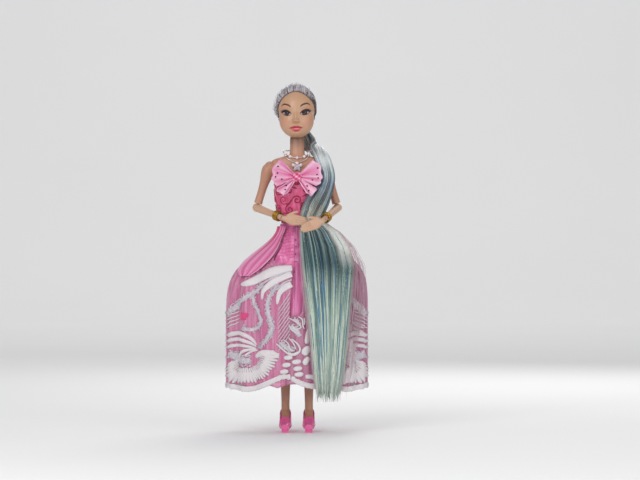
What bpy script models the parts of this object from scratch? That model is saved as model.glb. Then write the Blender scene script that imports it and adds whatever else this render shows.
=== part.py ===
"""Fashion doll with jointed limbs, a ball gown and long rooted hair.

Metres, +Z up. The doll looks along -Y, its left hand is at +X, and the floor between its shoes
is the origin.
"""
import math

import bmesh
import bpy
import numpy as np
from mathutils import Euler, Matrix, Vector

# The three directions of an upright block
UPRIGHT = ((1, 0, 0), (0, 1, 0), (0, 0, 1))

# Running clearance between pieces that touch, and how far a cutter runs past what it cuts
CLEARANCE = 0.0003
OVERRUN = 0.004

# Heights, stacked from the floor
ANKLE_HEIGHT = 0.0220
SHIN_LENGTH = 0.0600
THIGH_LENGTH = 0.0710
HIP_TO_WAIST = 0.0195
WAIST_TO_SHOULDER = 0.0418
SHOULDER_TO_CHIN = 0.0257
HEAD_HEIGHT = 0.0425
KNEE_Z = ANKLE_HEIGHT + SHIN_LENGTH
HIP_Z = KNEE_Z + THIGH_LENGTH
WAIST_Z = HIP_Z + HIP_TO_WAIST
SHOULDER_Z = WAIST_Z + WAIST_TO_SHOULDER
CHIN_Z = SHOULDER_Z + SHOULDER_TO_CHIN

# Torso sizes at hip, waist, bust and shoulder
HIP_HALF_WIDTH = 0.0178
BELLY_DEPTH = 0.0074
SEAT_DEPTH = 0.0108
WAIST_HALF_WIDTH = 0.0114
WAIST_FRONT = 0.0076
WAIST_BACK = 0.0070
BUST_HALF_WIDTH = 0.0172
BUST_DEPTH = 0.0146
BACK_DEPTH = 0.0089
CLEAVAGE_DEPTH = 0.0022
SHOULDER_HALF_WIDTH = 0.0222
CHEST_TOP_DEPTH = 0.0082
NECK_RADIUS = 0.0060
NECK_LEAN = 0.0022
TORSO_SIDES = 22
# Rows are height, half width, front and back, as shares of the sizes named beside them
SEAT_SHARES = ((-0.50, 0.34, 0.62, 0.44), (-0.36, 0.66, 0.86, 0.74), (0.0, 1.0, 1.0, 1.0),
               (0.36, 0.83, 1.02, 0.90), (0.68, 0.70, 1.02, 0.74))
CHEST_SHARES = ((0.20, 0.87, 0.60, 0.87), (0.37, 0.955, 0.73, 0.93), (0.61, 1.0, 1.0, 0.98),
                (0.75, 1.01, 0.92, 1.0), (0.87, 1.05, 0.70, 0.96))
SHOULDER_SHARES = ((0.0, 0.874, 1.0, 0.95), (0.18, 0.965, 0.90, 0.88), (0.28, 0.94, 0.82, 0.85),
                   (0.345, 0.81, 0.80, 0.84), (0.40, 0.60, 0.76, 0.84))
NECK_SHARES = ((0.48, 1.06, 0.35), (0.62, 1.0, 0.6), (0.80, 0.98, 0.85), (0.995, 0.97, 1.0))

# Ball joints and their pegs
SHOULDER_HALF_SPAN = 0.0236
SHOULDER_BALL_RADIUS = 0.0040
ARM_CUP_RADIUS = 0.0052
SHOULDER_PEG_RADIUS = 0.0018
SHOULDER_PEG_LENGTH = 0.0090
HIP_HALF_SPAN = 0.0096
HIP_BALL_RADIUS = 0.0080
HIP_PEG_RADIUS = 0.0026
THIGH_TOP_RADIUS = 0.0074
PELVIS_EDGE_RISE = 0.0035
KEEL_HALF_WIDTH = HIP_HALF_SPAN - HIP_BALL_RADIUS - CLEARANCE
BALL_TIP = Euler((0.23, 0.31, 0.17)).to_matrix().to_4x4()
BALL_SEGMENTS = 14
BALL_RINGS = 8

# Arms: each elbow and wrist is placed from its shoulder and elbow, for the doll's right arm
ELBOW_OUT = 0.0096
ELBOW_BACK = 0.0030
ELBOW_DROP = 0.0311
ELBOW_RADIUS = 0.0034
FOREARM_LENGTH = 0.0340
RIGHT_WRIST_IN = 0.0217
RIGHT_WRIST_DROP = 0.0087
LEFT_WRIST_IN = 0.0117
LEFT_WRIST_DROP = 0.0104
ARM_SIDES = 12
# Rows are how far along the limb, from its joint, and its radius
UPPER_ARM_SHARES = ((-0.155, 0.22), (-0.135, 0.53), (-0.08, 0.86), (0.0, 1.0), (0.10, 1.0),
                    (0.22, 0.88), (0.34, 0.745), (0.50, 0.66), (0.68, 0.63), (0.84, 0.645), (0.885, 0.66))
FOREARM_SHARES = ((-0.10, 0.28), (-0.085, 0.62), (-0.05, 0.88), (0.0, 1.0), (0.10, 0.98), (0.25, 0.93),
                  (0.45, 0.86), (0.70, 0.76), (0.90, 0.68), (0.99, 0.65))
LINK_DISC_RADIUS = 0.0024
LINK_DISC_THICK = 0.0020
LINK_STEM_RADIUS = 0.0009
LINK_STEM_LENGTH = 0.0085
WRIST_PEG_RADIUS = 0.0009
WRIST_PEG_LENGTH = 0.0040

# Hands: palm and fingers, along the hand from the wrist
PALM_LENGTH = 0.0112
PALM_HALF_WIDTH = 0.0046
PALM_HALF_THICK = 0.0017
FINGER_RADIUS = 0.00116
FINGER_LENGTH = 0.0118
FINGER_CURL = 0.0013
THUMB_RADIUS = 0.00115
THUMB_LENGTH = 0.0092
# Rows are how far along the palm, half width and half thickness
PALM_SHARES = ((0.0, 0.48, 1.08), (0.12, 0.48, 1.05), (0.25, 0.56, 1.05), (0.40, 0.74, 1.06),
               (0.62, 0.96, 1.06), (0.85, 1.0, 0.98), (1.0, 0.97, 0.80))
WRIST_BEND_SHARE = 0.36
PALM_SIDES = 8
FINGER_LENGTH_SHARES = (0.84, 0.97, 1.0, 0.90)
FINGER_SIDES = 5
THUMB_SHARES = ((0.0, 1.1), (0.4, 1.05), (0.75, 0.95), (0.93, 0.7), (1.0, 0.3))

# Bracelets
BRACELET_LENGTH = 0.0050
BRACELET_WALL = 0.0011
BRACELET_RIB = 0.00035
BRACELET_RIBS = 3
BRACELET_STEPS = 13
BRACELET_PLACE_SHARE = 0.80

# Legs
KNEE_RADIUS = 0.0056
KNEE_TONGUE_HALF = 0.0019
KNEE_DISC_RADIUS = 0.0046
CALF_RADIUS = 0.0058
THIGH_SHARES = ((0.0, 1.0), (0.12, 1.0), (0.30, 0.96), (0.55, 0.86), (0.80, 0.77), (0.93, 0.76),
                (1.0, 0.76))
SHIN_SHARES = ((0.0, 0.88), (0.10, 0.93), (0.28, 1.0), (0.50, 0.90), (0.75, 0.66), (1.0, 0.57))
LEG_SIDES = 12

# Feet, arched for heeled shoes: each row is how far forward, how high, half width and half thickness
TOE_REACH = 0.0215
HEEL_REACH = 0.0040
FOOT_HALF_WIDTH = 0.0042
FOOT_HALF_THICK = 0.0031
SOLE_THICK = 0.0012
SHOE_WALL = 0.0009
HEEL_TIP_RADIUS = 0.0016
HEEL_SEAT_RADIUS = 0.0030
FOOT_SHARES = ((-0.02, 0.80, 0.80, 1.12), (0.10, 0.60, 0.84, 1.15), (0.30, 0.46, 0.88, 1.0),
               (0.52, 0.33, 0.96, 0.80), (0.72, 0.25, 1.0, 0.66), (0.88, 0.215, 0.86, 0.52),
               (0.98, 0.20, 0.50, 0.34))

# Head: three egg shapes whose outer skin is blended, seen from a point inside the skull
SKULL_HALF_WIDTH = 0.0152
SKULL_HALF_DEPTH = 0.0176
FACE_HALF_WIDTH = 0.0142
FACE_HALF_DEPTH = 0.0118
NAPE_RADIUS = 0.0092
HEAD_TILT = math.radians(-2.0)
HEAD_TURN = math.radians(-2.5)
PIVOT_RISE = 0.0100
PIVOT_BACK = NECK_LEAN
KNOB_RADIUS = 0.0040
KNOB_POST_RADIUS = 0.0019
NECK_HOLE_RADIUS = 0.0085
HEAD_COLUMNS = 32
HEAD_ROWS = 20
NOSE_REACH = 0.0030
LIP_REACH = 0.0010
CHIN_REACH = 0.0010
CHEEK_REACH = 0.0006
SOCKET_DEPTH = 0.0011
EYE_SPREAD = 0.0074
EYE_RISE_SHARE = 0.485
NOSE_RISE_SHARE = 0.325
MOUTH_RISE_SHARE = 0.188
BLEND_POWER = 22

# Hair: the rooted cap, the sweep over the shoulder and the length down the skirt
HAIR_THICK = 0.0015
CAP_LIFT = 0.0011
HAIRLINE_FRONT = math.radians(60)
HAIRLINE_SIDE = math.radians(3)
HAIRLINE_BACK = math.radians(-52)
CAP_COLUMNS = 24
CAP_ROWS = 7
HAIR_LENGTH = 0.1400
HAIR_SIDES = 10
SWEEP_HALF_THICK = 0.0021
# Rows are right, back, up, half width and thickness, as shares of the shoulder span and of
# the height from waist to chin; they go from the nape over the shoulder to the waist
SWEEP_SHARES = ((0.06, 0.80, 1.080, 0.28, 1.3), (0.33, 0.70, 0.955, 0.24, 1.3),
                (0.56, 0.49, 0.862, 0.205, 1.2), (0.72, 0.155, 0.828, 0.20, 1.05),
                (0.85, -0.22, 0.766, 0.215, 0.98), (1.00, -0.47, 0.640, 0.23, 0.95),
                (1.05, -0.56, 0.515, 0.24, 0.95), (0.96, -0.630, 0.395, 0.275, 0.92),
                (0.76, -0.620, 0.262, 0.36, 0.95), (0.59, -0.565, 0.142, 0.375, 0.95),
                (0.50, -0.570, 0.050, 0.37, 0.95), (0.57, -0.580, -0.020, 0.44, 0.95))
# Rows are down the hair's length, left edge and right edge of the skirt's half width, thickness
FALL_SHARES = ((0.0, 0.035, 0.42, 1.0), (0.055, 0.045, 0.60, 1.02), (0.14, 0.055, 0.75, 1.0),
               (0.25, 0.084, 0.82, 0.95), (0.39, 0.13, 0.79, 0.88), (0.53, 0.18, 0.755, 0.82),
               (0.71, 0.22, 0.71, 0.80), (0.86, 0.25, 0.67, 0.76), (1.0, 0.29, 0.61, 0.42))
FALL_THICK = 0.0037
FALL_HANG = 0.0128

# Gown: bodice, waistband and bow
BODICE_THICK = 0.0008
BODICE_EASE = 0.0007
BODICE_TOP_SHARE = 0.815
BODICE_DIP_SHARE = 0.045
BODICE_ROWS = 5
CLOSURE_HALF_WIDTH = 0.0030
CLOSURE_THICK = 0.0007
BAND_HEIGHT = 0.0026
BAND_THICK = 0.0013
BAND_TOP_Z = WAIST_Z - HIP_TO_WAIST * 0.12
SKIRT_TOP_Z = BAND_TOP_Z - BAND_HEIGHT - CLEARANCE
BOW_REACH = 0.0208
BOW_THICK = 0.0007
BOW_FOLD = 0.0011
BOW_STAND_OFF = 0.0028
KNOT_RADIUS = 0.0027
BOW_RISE_SHARE = 0.845
# Each bow piece: first and last direction in degrees, reach at both, number of folds
BOW_LOOP_SHARES = (42.0, -22.0, 0.97, 0.90, 2.0)
BOW_TAIL_SHARES = (-28.0, -62.0, 0.93, 0.86, 1.0)

# Gown: skirt layers
SKIRT_WAIST_GROW = 0.0024
SKIRT_HALF_WIDTH = 0.0564
SKIRT_HALF_DEPTH = 0.0360
SKIRT_BACK_SHARE = 1.04
SKIRT_SWELL = 0.0252
SWELL_LEAN_SHARE = 0.08
SWELL_POWER = 2.0
SKIRT_ROUNDNESS = 2.35
OVERSKIRT_DROP = 0.1305
UNDERSKIRT_DROP = 0.0735
UNDERSKIRT_SHARE = 0.875
OVERSKIRT_THICK = 0.0007
UNDERSKIRT_THICK = 0.0007
FOLD_DEPTH = 0.0014
FOLD_COUNT = 15
SCALLOP_DEPTH = 0.0035
SCALLOP_COUNT = 14
SKIRT_COLUMNS = 14
SKIRT_ROWS = 8
FRONT_EDGE = math.radians(-7)
SEAM_GAP = math.radians(0.6)
# Sash from the waist to the doll's right: down the skirt, outer edge, inner edge
DRAPE_SHARES = ((0.02, 0.99, -0.15), (0.07, 0.93, 0.02), (0.14, 0.84, 0.19), (0.22, 0.82, 0.30),
                (0.29, 0.80, 0.44), (0.335, 0.765, 0.60))
DRAPE_THICK = 0.0008

# Necklaces
PEARL_RADIUS = 0.0011
STRAND_RADIUS = 0.0004
STRAND_HALF_WIDTH = 0.0098
STRAND_RISE = 0.0054
STRAND_PLACE_SHARE = 0.58
STRAND_STEPS = 20
PEARL_COUNT = 5
PEARL_STEP = math.radians(36)
CORD_RADIUS = 0.0004
CORD_DROP = 0.0070
PENDANT_DROP = 0.0050
PENDANT_RADIUS = 0.0030
PENDANT_THICK = 0.0009
PENDANT_POINTS = 5


def clear_scene():
    """Remove whatever the file holds."""
    for obj in list(bpy.data.objects):
        bpy.data.objects.remove(obj, do_unlink=True)


def new_collection(name):
    group = bpy.data.collections.new(name)
    bpy.context.scene.collection.children.link(group)
    return group


clear_scene()
MANY_CUTS = ("torso", "shoe", "hand", "pearl_strand", "pendant")
DOLL = new_collection("fashion_doll")
CUTTERS = new_collection("cutters")


def finish_of(name, colour, roughness, metallic=0.0, alpha=1.0):
    """One Principled material."""
    material = bpy.data.materials.new(name)
    material.use_nodes = True
    shader = material.node_tree.nodes["Principled BSDF"]
    shader.inputs["Base Color"].default_value = (*colour, 1.0)
    shader.inputs["Roughness"].default_value = roughness
    shader.inputs["Metallic"].default_value = metallic
    shader.inputs["Alpha"].default_value = alpha
    return material


SKIN = ((0.62, 0.40, 0.27), 0.45)
HAIR = ((0.55, 0.62, 0.62), 0.35)
SATIN = ((0.80, 0.22, 0.50), 0.30)
TULLE = ((0.86, 0.45, 0.66), 0.60)
BROCADE = ((0.66, 0.10, 0.30), 0.50)
ORGANZA = ((0.90, 0.50, 0.66), 0.35)
GOLD = ((0.62, 0.42, 0.07), 0.28, 1.0)
PEARL = ((0.88, 0.86, 0.82), 0.18)
SHOE = ((0.80, 0.18, 0.45), 0.25)


def add_object(name, mesh, look=None, pivot=None):
    """Put a mesh, made in world places, into the doll; its origin goes to its joint."""
    mesh.shade_smooth()
    mesh.set_sharp_from_angle(angle=math.radians(42))
    obj = bpy.data.objects.new(name, mesh)
    if look is None:
        CUTTERS.objects.link(obj)
        obj.hide_render = True
        obj.display_type = "WIRE"
    else:
        DOLL.objects.link(obj)
        mesh.materials.append(finish_of(name, *look))
    if pivot is not None:
        mesh.transform(Matrix.Translation(-Vector(pivot)))
        obj.location = pivot
    return obj


def closed_mesh(name, points, faces):
    """A mesh whose faces all point out."""
    shape = bmesh.new()
    made = [shape.verts.new(point) for point in points]
    for face in faces:
        shape.faces.new([made[i] for i in face])
    bmesh.ops.recalc_face_normals(shape, faces=shape.faces)
    if shape.calc_volume(signed=True) < 0.0:
        bmesh.ops.reverse_faces(shape, faces=shape.faces)
    mesh = bpy.data.meshes.new(name)
    shape.to_mesh(mesh)
    shape.free()
    return mesh


def loft_mesh(name, rings):
    """Skin over rings of equal count, closed at both ends by a fan to the ring's middle."""
    count = len(rings[0])
    points = [Vector(point) for ring in rings for point in ring]
    faces = []
    for row in range(len(rings) - 1):
        low, high = row * count, (row + 1) * count
        for col in range(count):
            after = (col + 1) % count
            faces.append((low + col, low + after, high + after, high + col))
    for start in (0, (len(rings) - 1) * count):
        middle = sum((points[start + col] for col in range(count)), Vector()) / count
        points.append(middle)
        tip = len(points) - 1
        faces += [(start + col, start + (col + 1) % count, tip) for col in range(count)]
    return closed_mesh(name, points, faces)


def sleeve_mesh(name, outer, inner):
    """A ring-shaped wall between an outer and an inner skin, each a list of rings."""
    rings = list(outer) + list(reversed(inner))
    count = len(rings[0])
    points = [point for ring in rings for point in ring]
    faces = []
    for row in range(len(rings)):
        low, high = row * count, (row + 1) % len(rings) * count
        for col in range(count):
            after = (col + 1) % count
            faces.append((low + col, low + after, high + after, high + col))
    return closed_mesh(name, points, faces)


def sheet_mesh(name, front, back):
    """A closed thin solid between two grids of points of the same size."""
    rings = [list(a) + list(reversed(b)) for a, b in zip(front, back)]
    count = len(rings[0])
    width = len(front[0])
    points = [point for ring in rings for point in ring]
    faces = []
    for row in range(len(rings) - 1):
        low, high = row * count, (row + 1) * count
        for col in range(count):
            after = (col + 1) % count
            faces.append((low + col, low + after, high + after, high + col))
    for start in (0, (len(rings) - 1) * count):
        for col in range(width - 1):
            faces.append((start + col, start + col + 1, start + count - 2 - col, start + count - 1 - col))
    return closed_mesh(name, points, faces)


def ball_mesh(name, centre, radius, segments=BALL_SEGMENTS, rings=BALL_RINGS):
    """A ball, tipped so that its edges don't line up with those of the piece it meets."""
    shape = bmesh.new()
    bmesh.ops.create_uvsphere(shape, u_segments=segments, v_segments=rings, radius=radius)
    bmesh.ops.transform(shape, verts=shape.verts, matrix=Matrix.Translation(centre) @ BALL_TIP)
    mesh = bpy.data.meshes.new(name)
    shape.to_mesh(mesh)
    shape.free()
    return mesh


def rod_mesh(name, start, end, radius, end_radius=None, sides=14):
    """A round rod or cone between two points."""
    start, end = Vector(start), Vector(end)
    along = end - start
    turn = Vector((0, 0, 1)).rotation_difference(along.normalized()).to_matrix().to_4x4()
    shape = bmesh.new()
    bmesh.ops.create_cone(shape, cap_ends=True, segments=sides, radius1=radius,
                          radius2=radius if end_radius is None else end_radius, depth=along.length)
    bmesh.ops.transform(shape, verts=shape.verts, matrix=Matrix.Translation((start + end) / 2) @ turn)
    mesh = bpy.data.meshes.new(name)
    shape.to_mesh(mesh)
    shape.free()
    return mesh


def block_mesh(name, centre, across, along, upward, halves):
    """A box given by its middle, its three directions and its half sizes."""
    shape = bmesh.new()
    bmesh.ops.create_cube(shape, size=2.0)
    columns = [Vector(d).normalized() * h for d, h in zip((across, along, upward), halves)]
    turn = Matrix(columns).transposed().to_4x4()
    bmesh.ops.transform(shape, verts=shape.verts, matrix=Matrix.Translation(Vector(centre)) @ turn)
    if turn.determinant() < 0.0:
        bmesh.ops.reverse_faces(shape, faces=shape.faces)
    mesh = bpy.data.meshes.new(name)
    shape.to_mesh(mesh)
    shape.free()
    return mesh


def combine(obj, mesh, operation):
    """Cut a mesh out of an object, or join it on; the exact solver tears the pieces of many cuts."""
    tool = add_object(f"{obj.name}_{operation.lower()}_{len(obj.modifiers)}", mesh)
    step = obj.modifiers.new(operation.title(), "BOOLEAN")
    step.operation = operation
    step.object = tool
    step.solver = "MANIFOLD" if obj.name.startswith(MANY_CUTS) else "EXACT"


def cut(obj, *meshes):
    for mesh in meshes:
        combine(obj, mesh, "DIFFERENCE")


def join(obj, *meshes):
    for mesh in meshes:
        combine(obj, mesh, "UNION")


def frame_along(along, guide):
    """Unit vectors along a limb, across it and out of it, with across square to the guide."""
    along = Vector(along).normalized()
    across = Vector(guide).cross(along).normalized()
    return along, across, along.cross(across)


def oval_ring(centre, across, outward, half_across, half_out, sides):
    """A closed oval of points."""
    turns = [2 * math.pi * i / sides for i in range(sides)]
    return [Vector(centre) + across * (half_across * math.cos(t)) + outward * (half_out * math.sin(t))
            for t in turns]


def smooth_between(rows, place):
    """Catmull-Rom value of a table of rows at a place counted in rows."""
    last = len(rows) - 1
    i = min(int(place), last - 1)
    t = place - i
    a, b, c, d = (np.array(rows[min(max(j, 0), last)], dtype=float) for j in (i - 1, i, i + 1, i + 2))
    square, cube = 2 * a - 5 * b + 4 * c - d, 3 * b - a - 3 * c + d
    return 0.5 * (2 * b + (c - a) * t + square * t ** 2 + cube * t ** 3)


def smooth_rows(rows, steps):
    """Rows of a table with extra rows between them."""
    last = len(rows) - 1
    return [smooth_between(rows, place) for place in np.linspace(0, last, last * steps + 1)]


def limb_rings(start, end, shares, radius, sides, guide=(0.0, 1.0, 0.0), steps=2):
    """Round rings along a limb: each row gives how far along and the radius share."""
    start, end = Vector(start), Vector(end)
    along, across, outward = frame_along(end - start, guide)
    rings = []
    for place, size in smooth_rows(shares, steps):
        reach = radius * size
        rings.append(oval_ring(start.lerp(end, place), across, outward, reach, reach, sides))
    return rings


# Torso

def torso_rows():
    """Height, half width, front and back of the body, from crotch to the top of the neck."""
    rows = [(HIP_Z + up * HIP_TO_WAIST, wide * HIP_HALF_WIDTH, front * BELLY_DEPTH, back * SEAT_DEPTH)
            for up, wide, front, back in SEAT_SHARES]
    rows.append((WAIST_Z, WAIST_HALF_WIDTH, WAIST_FRONT, WAIST_BACK))
    rows += [(WAIST_Z + up * WAIST_TO_SHOULDER, wide * BUST_HALF_WIDTH, front * BUST_DEPTH,
              back * BACK_DEPTH) for up, wide, front, back in CHEST_SHARES]
    rows += [(SHOULDER_Z + up * SHOULDER_TO_CHIN, wide * SHOULDER_HALF_WIDTH, front * CHEST_TOP_DEPTH,
              back * BACK_DEPTH) for up, wide, front, back in SHOULDER_SHARES]
    rows += [(SHOULDER_Z + up * SHOULDER_TO_CHIN, wide * NECK_RADIUS, wide * NECK_RADIUS - lean * NECK_LEAN,
              wide * NECK_RADIUS + lean * NECK_LEAN) for up, wide, lean in NECK_SHARES]
    return rows


TORSO_TABLE = np.array(smooth_rows(torso_rows(), 8))


def torso_point(angle, z, grow=0.0):
    """A point on the body's skin, or grown off it; the angle runs from the front towards +X."""
    half, front, back = (np.interp(z, TORSO_TABLE[:, 0], TORSO_TABLE[:, col]) for col in (1, 2, 3))
    side, ahead = math.sin(angle), math.cos(angle)
    x = (half + grow) * side
    depth = (front if ahead > 0 else back) + grow
    bust_z = WAIST_Z + CHEST_SHARES[2][0] * WAIST_TO_SHOULDER
    cleft = math.exp(-((z - bust_z) / BUST_DEPTH * 1.8) ** 2) * math.exp(-(x / BUST_HALF_WIDTH * 3.6) ** 2)
    return Vector((x, -ahead * (depth - CLEAVAGE_DEPTH * cleft * max(ahead, 0.0)), z))


def torso_ring(z, grow=0.0, sides=TORSO_SIDES):
    return [torso_point(2 * math.pi * i / sides, z, grow) for i in range(sides)]


def shoulder_of(side):
    return Vector((side * SHOULDER_HALF_SPAN, 0.0, SHOULDER_Z))


def hip_of(side):
    return Vector((side * HIP_HALF_SPAN, 0.0, HIP_Z))


def build_torso():
    """Front and back shells of the body, moulded round the sockets and glued at the sides."""
    levels = [row[0] for row in torso_rows()]
    reach = SKIRT_HALF_DEPTH
    top_z = levels[-1]
    for name, facing in (("torso_front", -1), ("torso_back", 1)):
        shell = add_object(name, loft_mesh(name, [torso_ring(z) for z in levels]), SKIN)
        cut(shell, rod_mesh("post_hole", (0, PIVOT_BACK, top_z + OVERRUN),
                            (0, PIVOT_BACK, top_z - OVERRUN * 2), KNOB_POST_RADIUS + CLEARANCE))
        for side in (-1, 1):
            centre = shoulder_of(side)
            inward = Vector((-side, 0, 0))
            cut(shell, ball_mesh("socket", centre, ARM_CUP_RADIUS + CLEARANCE))
            cut(shell, rod_mesh("peg_hole", centre, centre + inward * (SHOULDER_PEG_LENGTH + CLEARANCE),
                                SHOULDER_PEG_RADIUS + CLEARANCE))
            hip = hip_of(side)
            edge = hip.z + PELVIS_EDGE_RISE
            cut(shell, ball_mesh("socket", hip, HIP_BALL_RADIUS + CLEARANCE))
            cut(shell, rod_mesh("peg_hole", hip, Vector((0.0, hip.y, hip.z)), HIP_PEG_RADIUS + CLEARANCE))
            below = Vector((side * (KEEL_HALF_WIDTH + reach), 0.0, edge - reach))
            cut(shell, block_mesh("leg_room", below, *UPRIGHT, (reach, reach, reach)))
        middle = Vector((0.0, -facing * reach + facing * CLEARANCE / 2, HIP_Z))
        cut(shell, block_mesh("half", middle, *UPRIGHT, (reach, reach, top_z)))


def build_hips():
    for side, word in ((1, "left"), (-1, "right")):
        centre = hip_of(side)
        name = f"hip_ball_{word}"
        piece = add_object(name, ball_mesh(name, centre, HIP_BALL_RADIUS), SKIN, centre)
        join(piece, rod_mesh("peg", centre, Vector((side * CLEARANCE, centre.y, centre.z)), HIP_PEG_RADIUS))


# Legs

def build_legs():
    """Thigh with a forked knee, and a shin that ends in the arched foot."""
    for side, word in ((1, "left"), (-1, "right")):
        hip = hip_of(side)
        knee = Vector((hip.x, 0.0, KNEE_Z))
        ankle = Vector((hip.x, 0.0, ANKLE_HEIGHT))
        name = f"thigh_{word}"
        rounding = [(1.0 + KNEE_RADIUS / THIGH_LENGTH * math.sin(t), THIGH_SHARES[-1][1] * math.cos(t))
                    for t in (0.5, 0.9, 1.25)]
        rings = limb_rings(hip, knee, THIGH_SHARES, THIGH_TOP_RADIUS, LEG_SIDES, steps=1)
        rings += limb_rings(hip, knee, rounding, THIGH_TOP_RADIUS, LEG_SIDES, steps=1)
        thigh = add_object(name, loft_mesh(name, rings), SKIN, hip)
        cut(thigh, ball_mesh("hip_cup", hip, HIP_BALL_RADIUS + CLEARANCE))
        slot = KNEE_DISC_RADIUS + CLEARANCE
        cut(thigh, block_mesh("knee_slot", knee - Vector((0, 0, slot)), *UPRIGHT,
                              (KNEE_TONGUE_HALF + CLEARANCE, KNEE_RADIUS * 2, slot * 2)))
        name = f"shin_{word}"
        rings = limb_rings(knee, ankle, SHIN_SHARES, CALF_RADIUS, LEG_SIDES, steps=1)
        shin = add_object(name, loft_mesh(name, rings + foot_rings(hip.x, 0.0)), SKIN, knee)
        wide = Vector((OVERRUN * 3, 0, 0))
        cut(shin, rod_mesh("knee_room", knee - wide, knee + wide, KNEE_RADIUS + CLEARANCE * 2, sides=22))
        across = Vector((KNEE_TONGUE_HALF, 0, 0))
        join(shin, rod_mesh("knee_disc", knee - across, knee + across, KNEE_DISC_RADIUS, sides=18))
        drop = Vector((0, 0, KNEE_RADIUS))
        join(shin, block_mesh("knee_tongue", knee - drop, *UPRIGHT,
                              (KNEE_TONGUE_HALF, LINK_DISC_RADIUS, KNEE_RADIUS)))
        build_shoe(word, hip.x, knee)


def foot_rings(x, grow, rise=0.0):
    """Rings of the arched foot from the ankle forward to the toes, which grow takes further out."""
    rings = []
    rows = FOOT_SHARES
    for number, (ahead, up, wide, thick) in enumerate(rows):
        lean = math.radians(90) * min(max(ahead, 0.0) * 1.6, 1.0)
        outward = Vector((0, math.cos(lean), -math.sin(lean)))
        centre = Vector((x, -ahead * TOE_REACH, up * ANKLE_HEIGHT))
        if number == len(rows) - 1:
            centre.y -= grow
        rings.append(oval_ring(centre, Vector((-1, 0, 0)), outward, wide * FOOT_HALF_WIDTH + grow,
                               thick * FOOT_HALF_THICK + grow, LEG_SIDES))
    if rise > 0.0:
        rings.insert(0, [point + Vector((0, 0, rise)) for point in rings[0]])
    return rings


def build_shoe(word, x, knee):
    """Heeled court shoe: a shell round the foot, cut low, with a sole and a heel."""
    name = f"shoe_{word}"
    grow = CLEARANCE + SHOE_WALL
    shoe = add_object(name, loft_mesh(name, foot_rings(x, grow)), SHOE, knee)
    heel_top = Vector((x, HEEL_REACH * 0.35, ANKLE_HEIGHT * 0.52))
    heel_foot = Vector((x, HEEL_REACH, 0.0))
    join(shoe, rod_mesh("heel", heel_foot, heel_top, HEEL_TIP_RADIUS, HEEL_SEAT_RADIUS))
    tread = Vector((x, -TOE_REACH * 0.80, SOLE_THICK))
    join(shoe, block_mesh("tread", tread, *UPRIGHT,
                          (FOOT_HALF_WIDTH * 0.72, TOE_REACH * 0.20, SOLE_THICK)))
    cut(shoe, loft_mesh("foot_room", foot_rings(x, CLEARANCE, OVERRUN)))
    lid = Vector((x, -TOE_REACH * 0.22, ANKLE_HEIGHT))
    cut(shoe, block_mesh("throat", lid, (1, 0, 0), (0, 1, 0.62), (0, -0.62, 1),
                         (FOOT_HALF_WIDTH * 2, TOE_REACH * 0.46, ANKLE_HEIGHT * 0.36)))
    cut(shoe, block_mesh("floor", (x, 0, -ANKLE_HEIGHT), *UPRIGHT,
                         (FOOT_HALF_WIDTH * 4, TOE_REACH * 2, ANKLE_HEIGHT)))


# Arms

def arm_points(side):
    """Shoulder, elbow and wrist of one arm; the wrists' depth follows from the forearm's length."""
    wrist_in = LEFT_WRIST_IN if side > 0 else RIGHT_WRIST_IN
    wrist_drop = LEFT_WRIST_DROP if side > 0 else RIGHT_WRIST_DROP
    shoulder = shoulder_of(side)
    elbow = shoulder + Vector((side * ELBOW_OUT, ELBOW_BACK, -ELBOW_DROP))
    ahead = math.sqrt(FOREARM_LENGTH ** 2 - wrist_in ** 2 - wrist_drop ** 2)
    wrist = elbow + Vector((-side * wrist_in, -ahead, -wrist_drop))
    return shoulder, elbow, wrist


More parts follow.
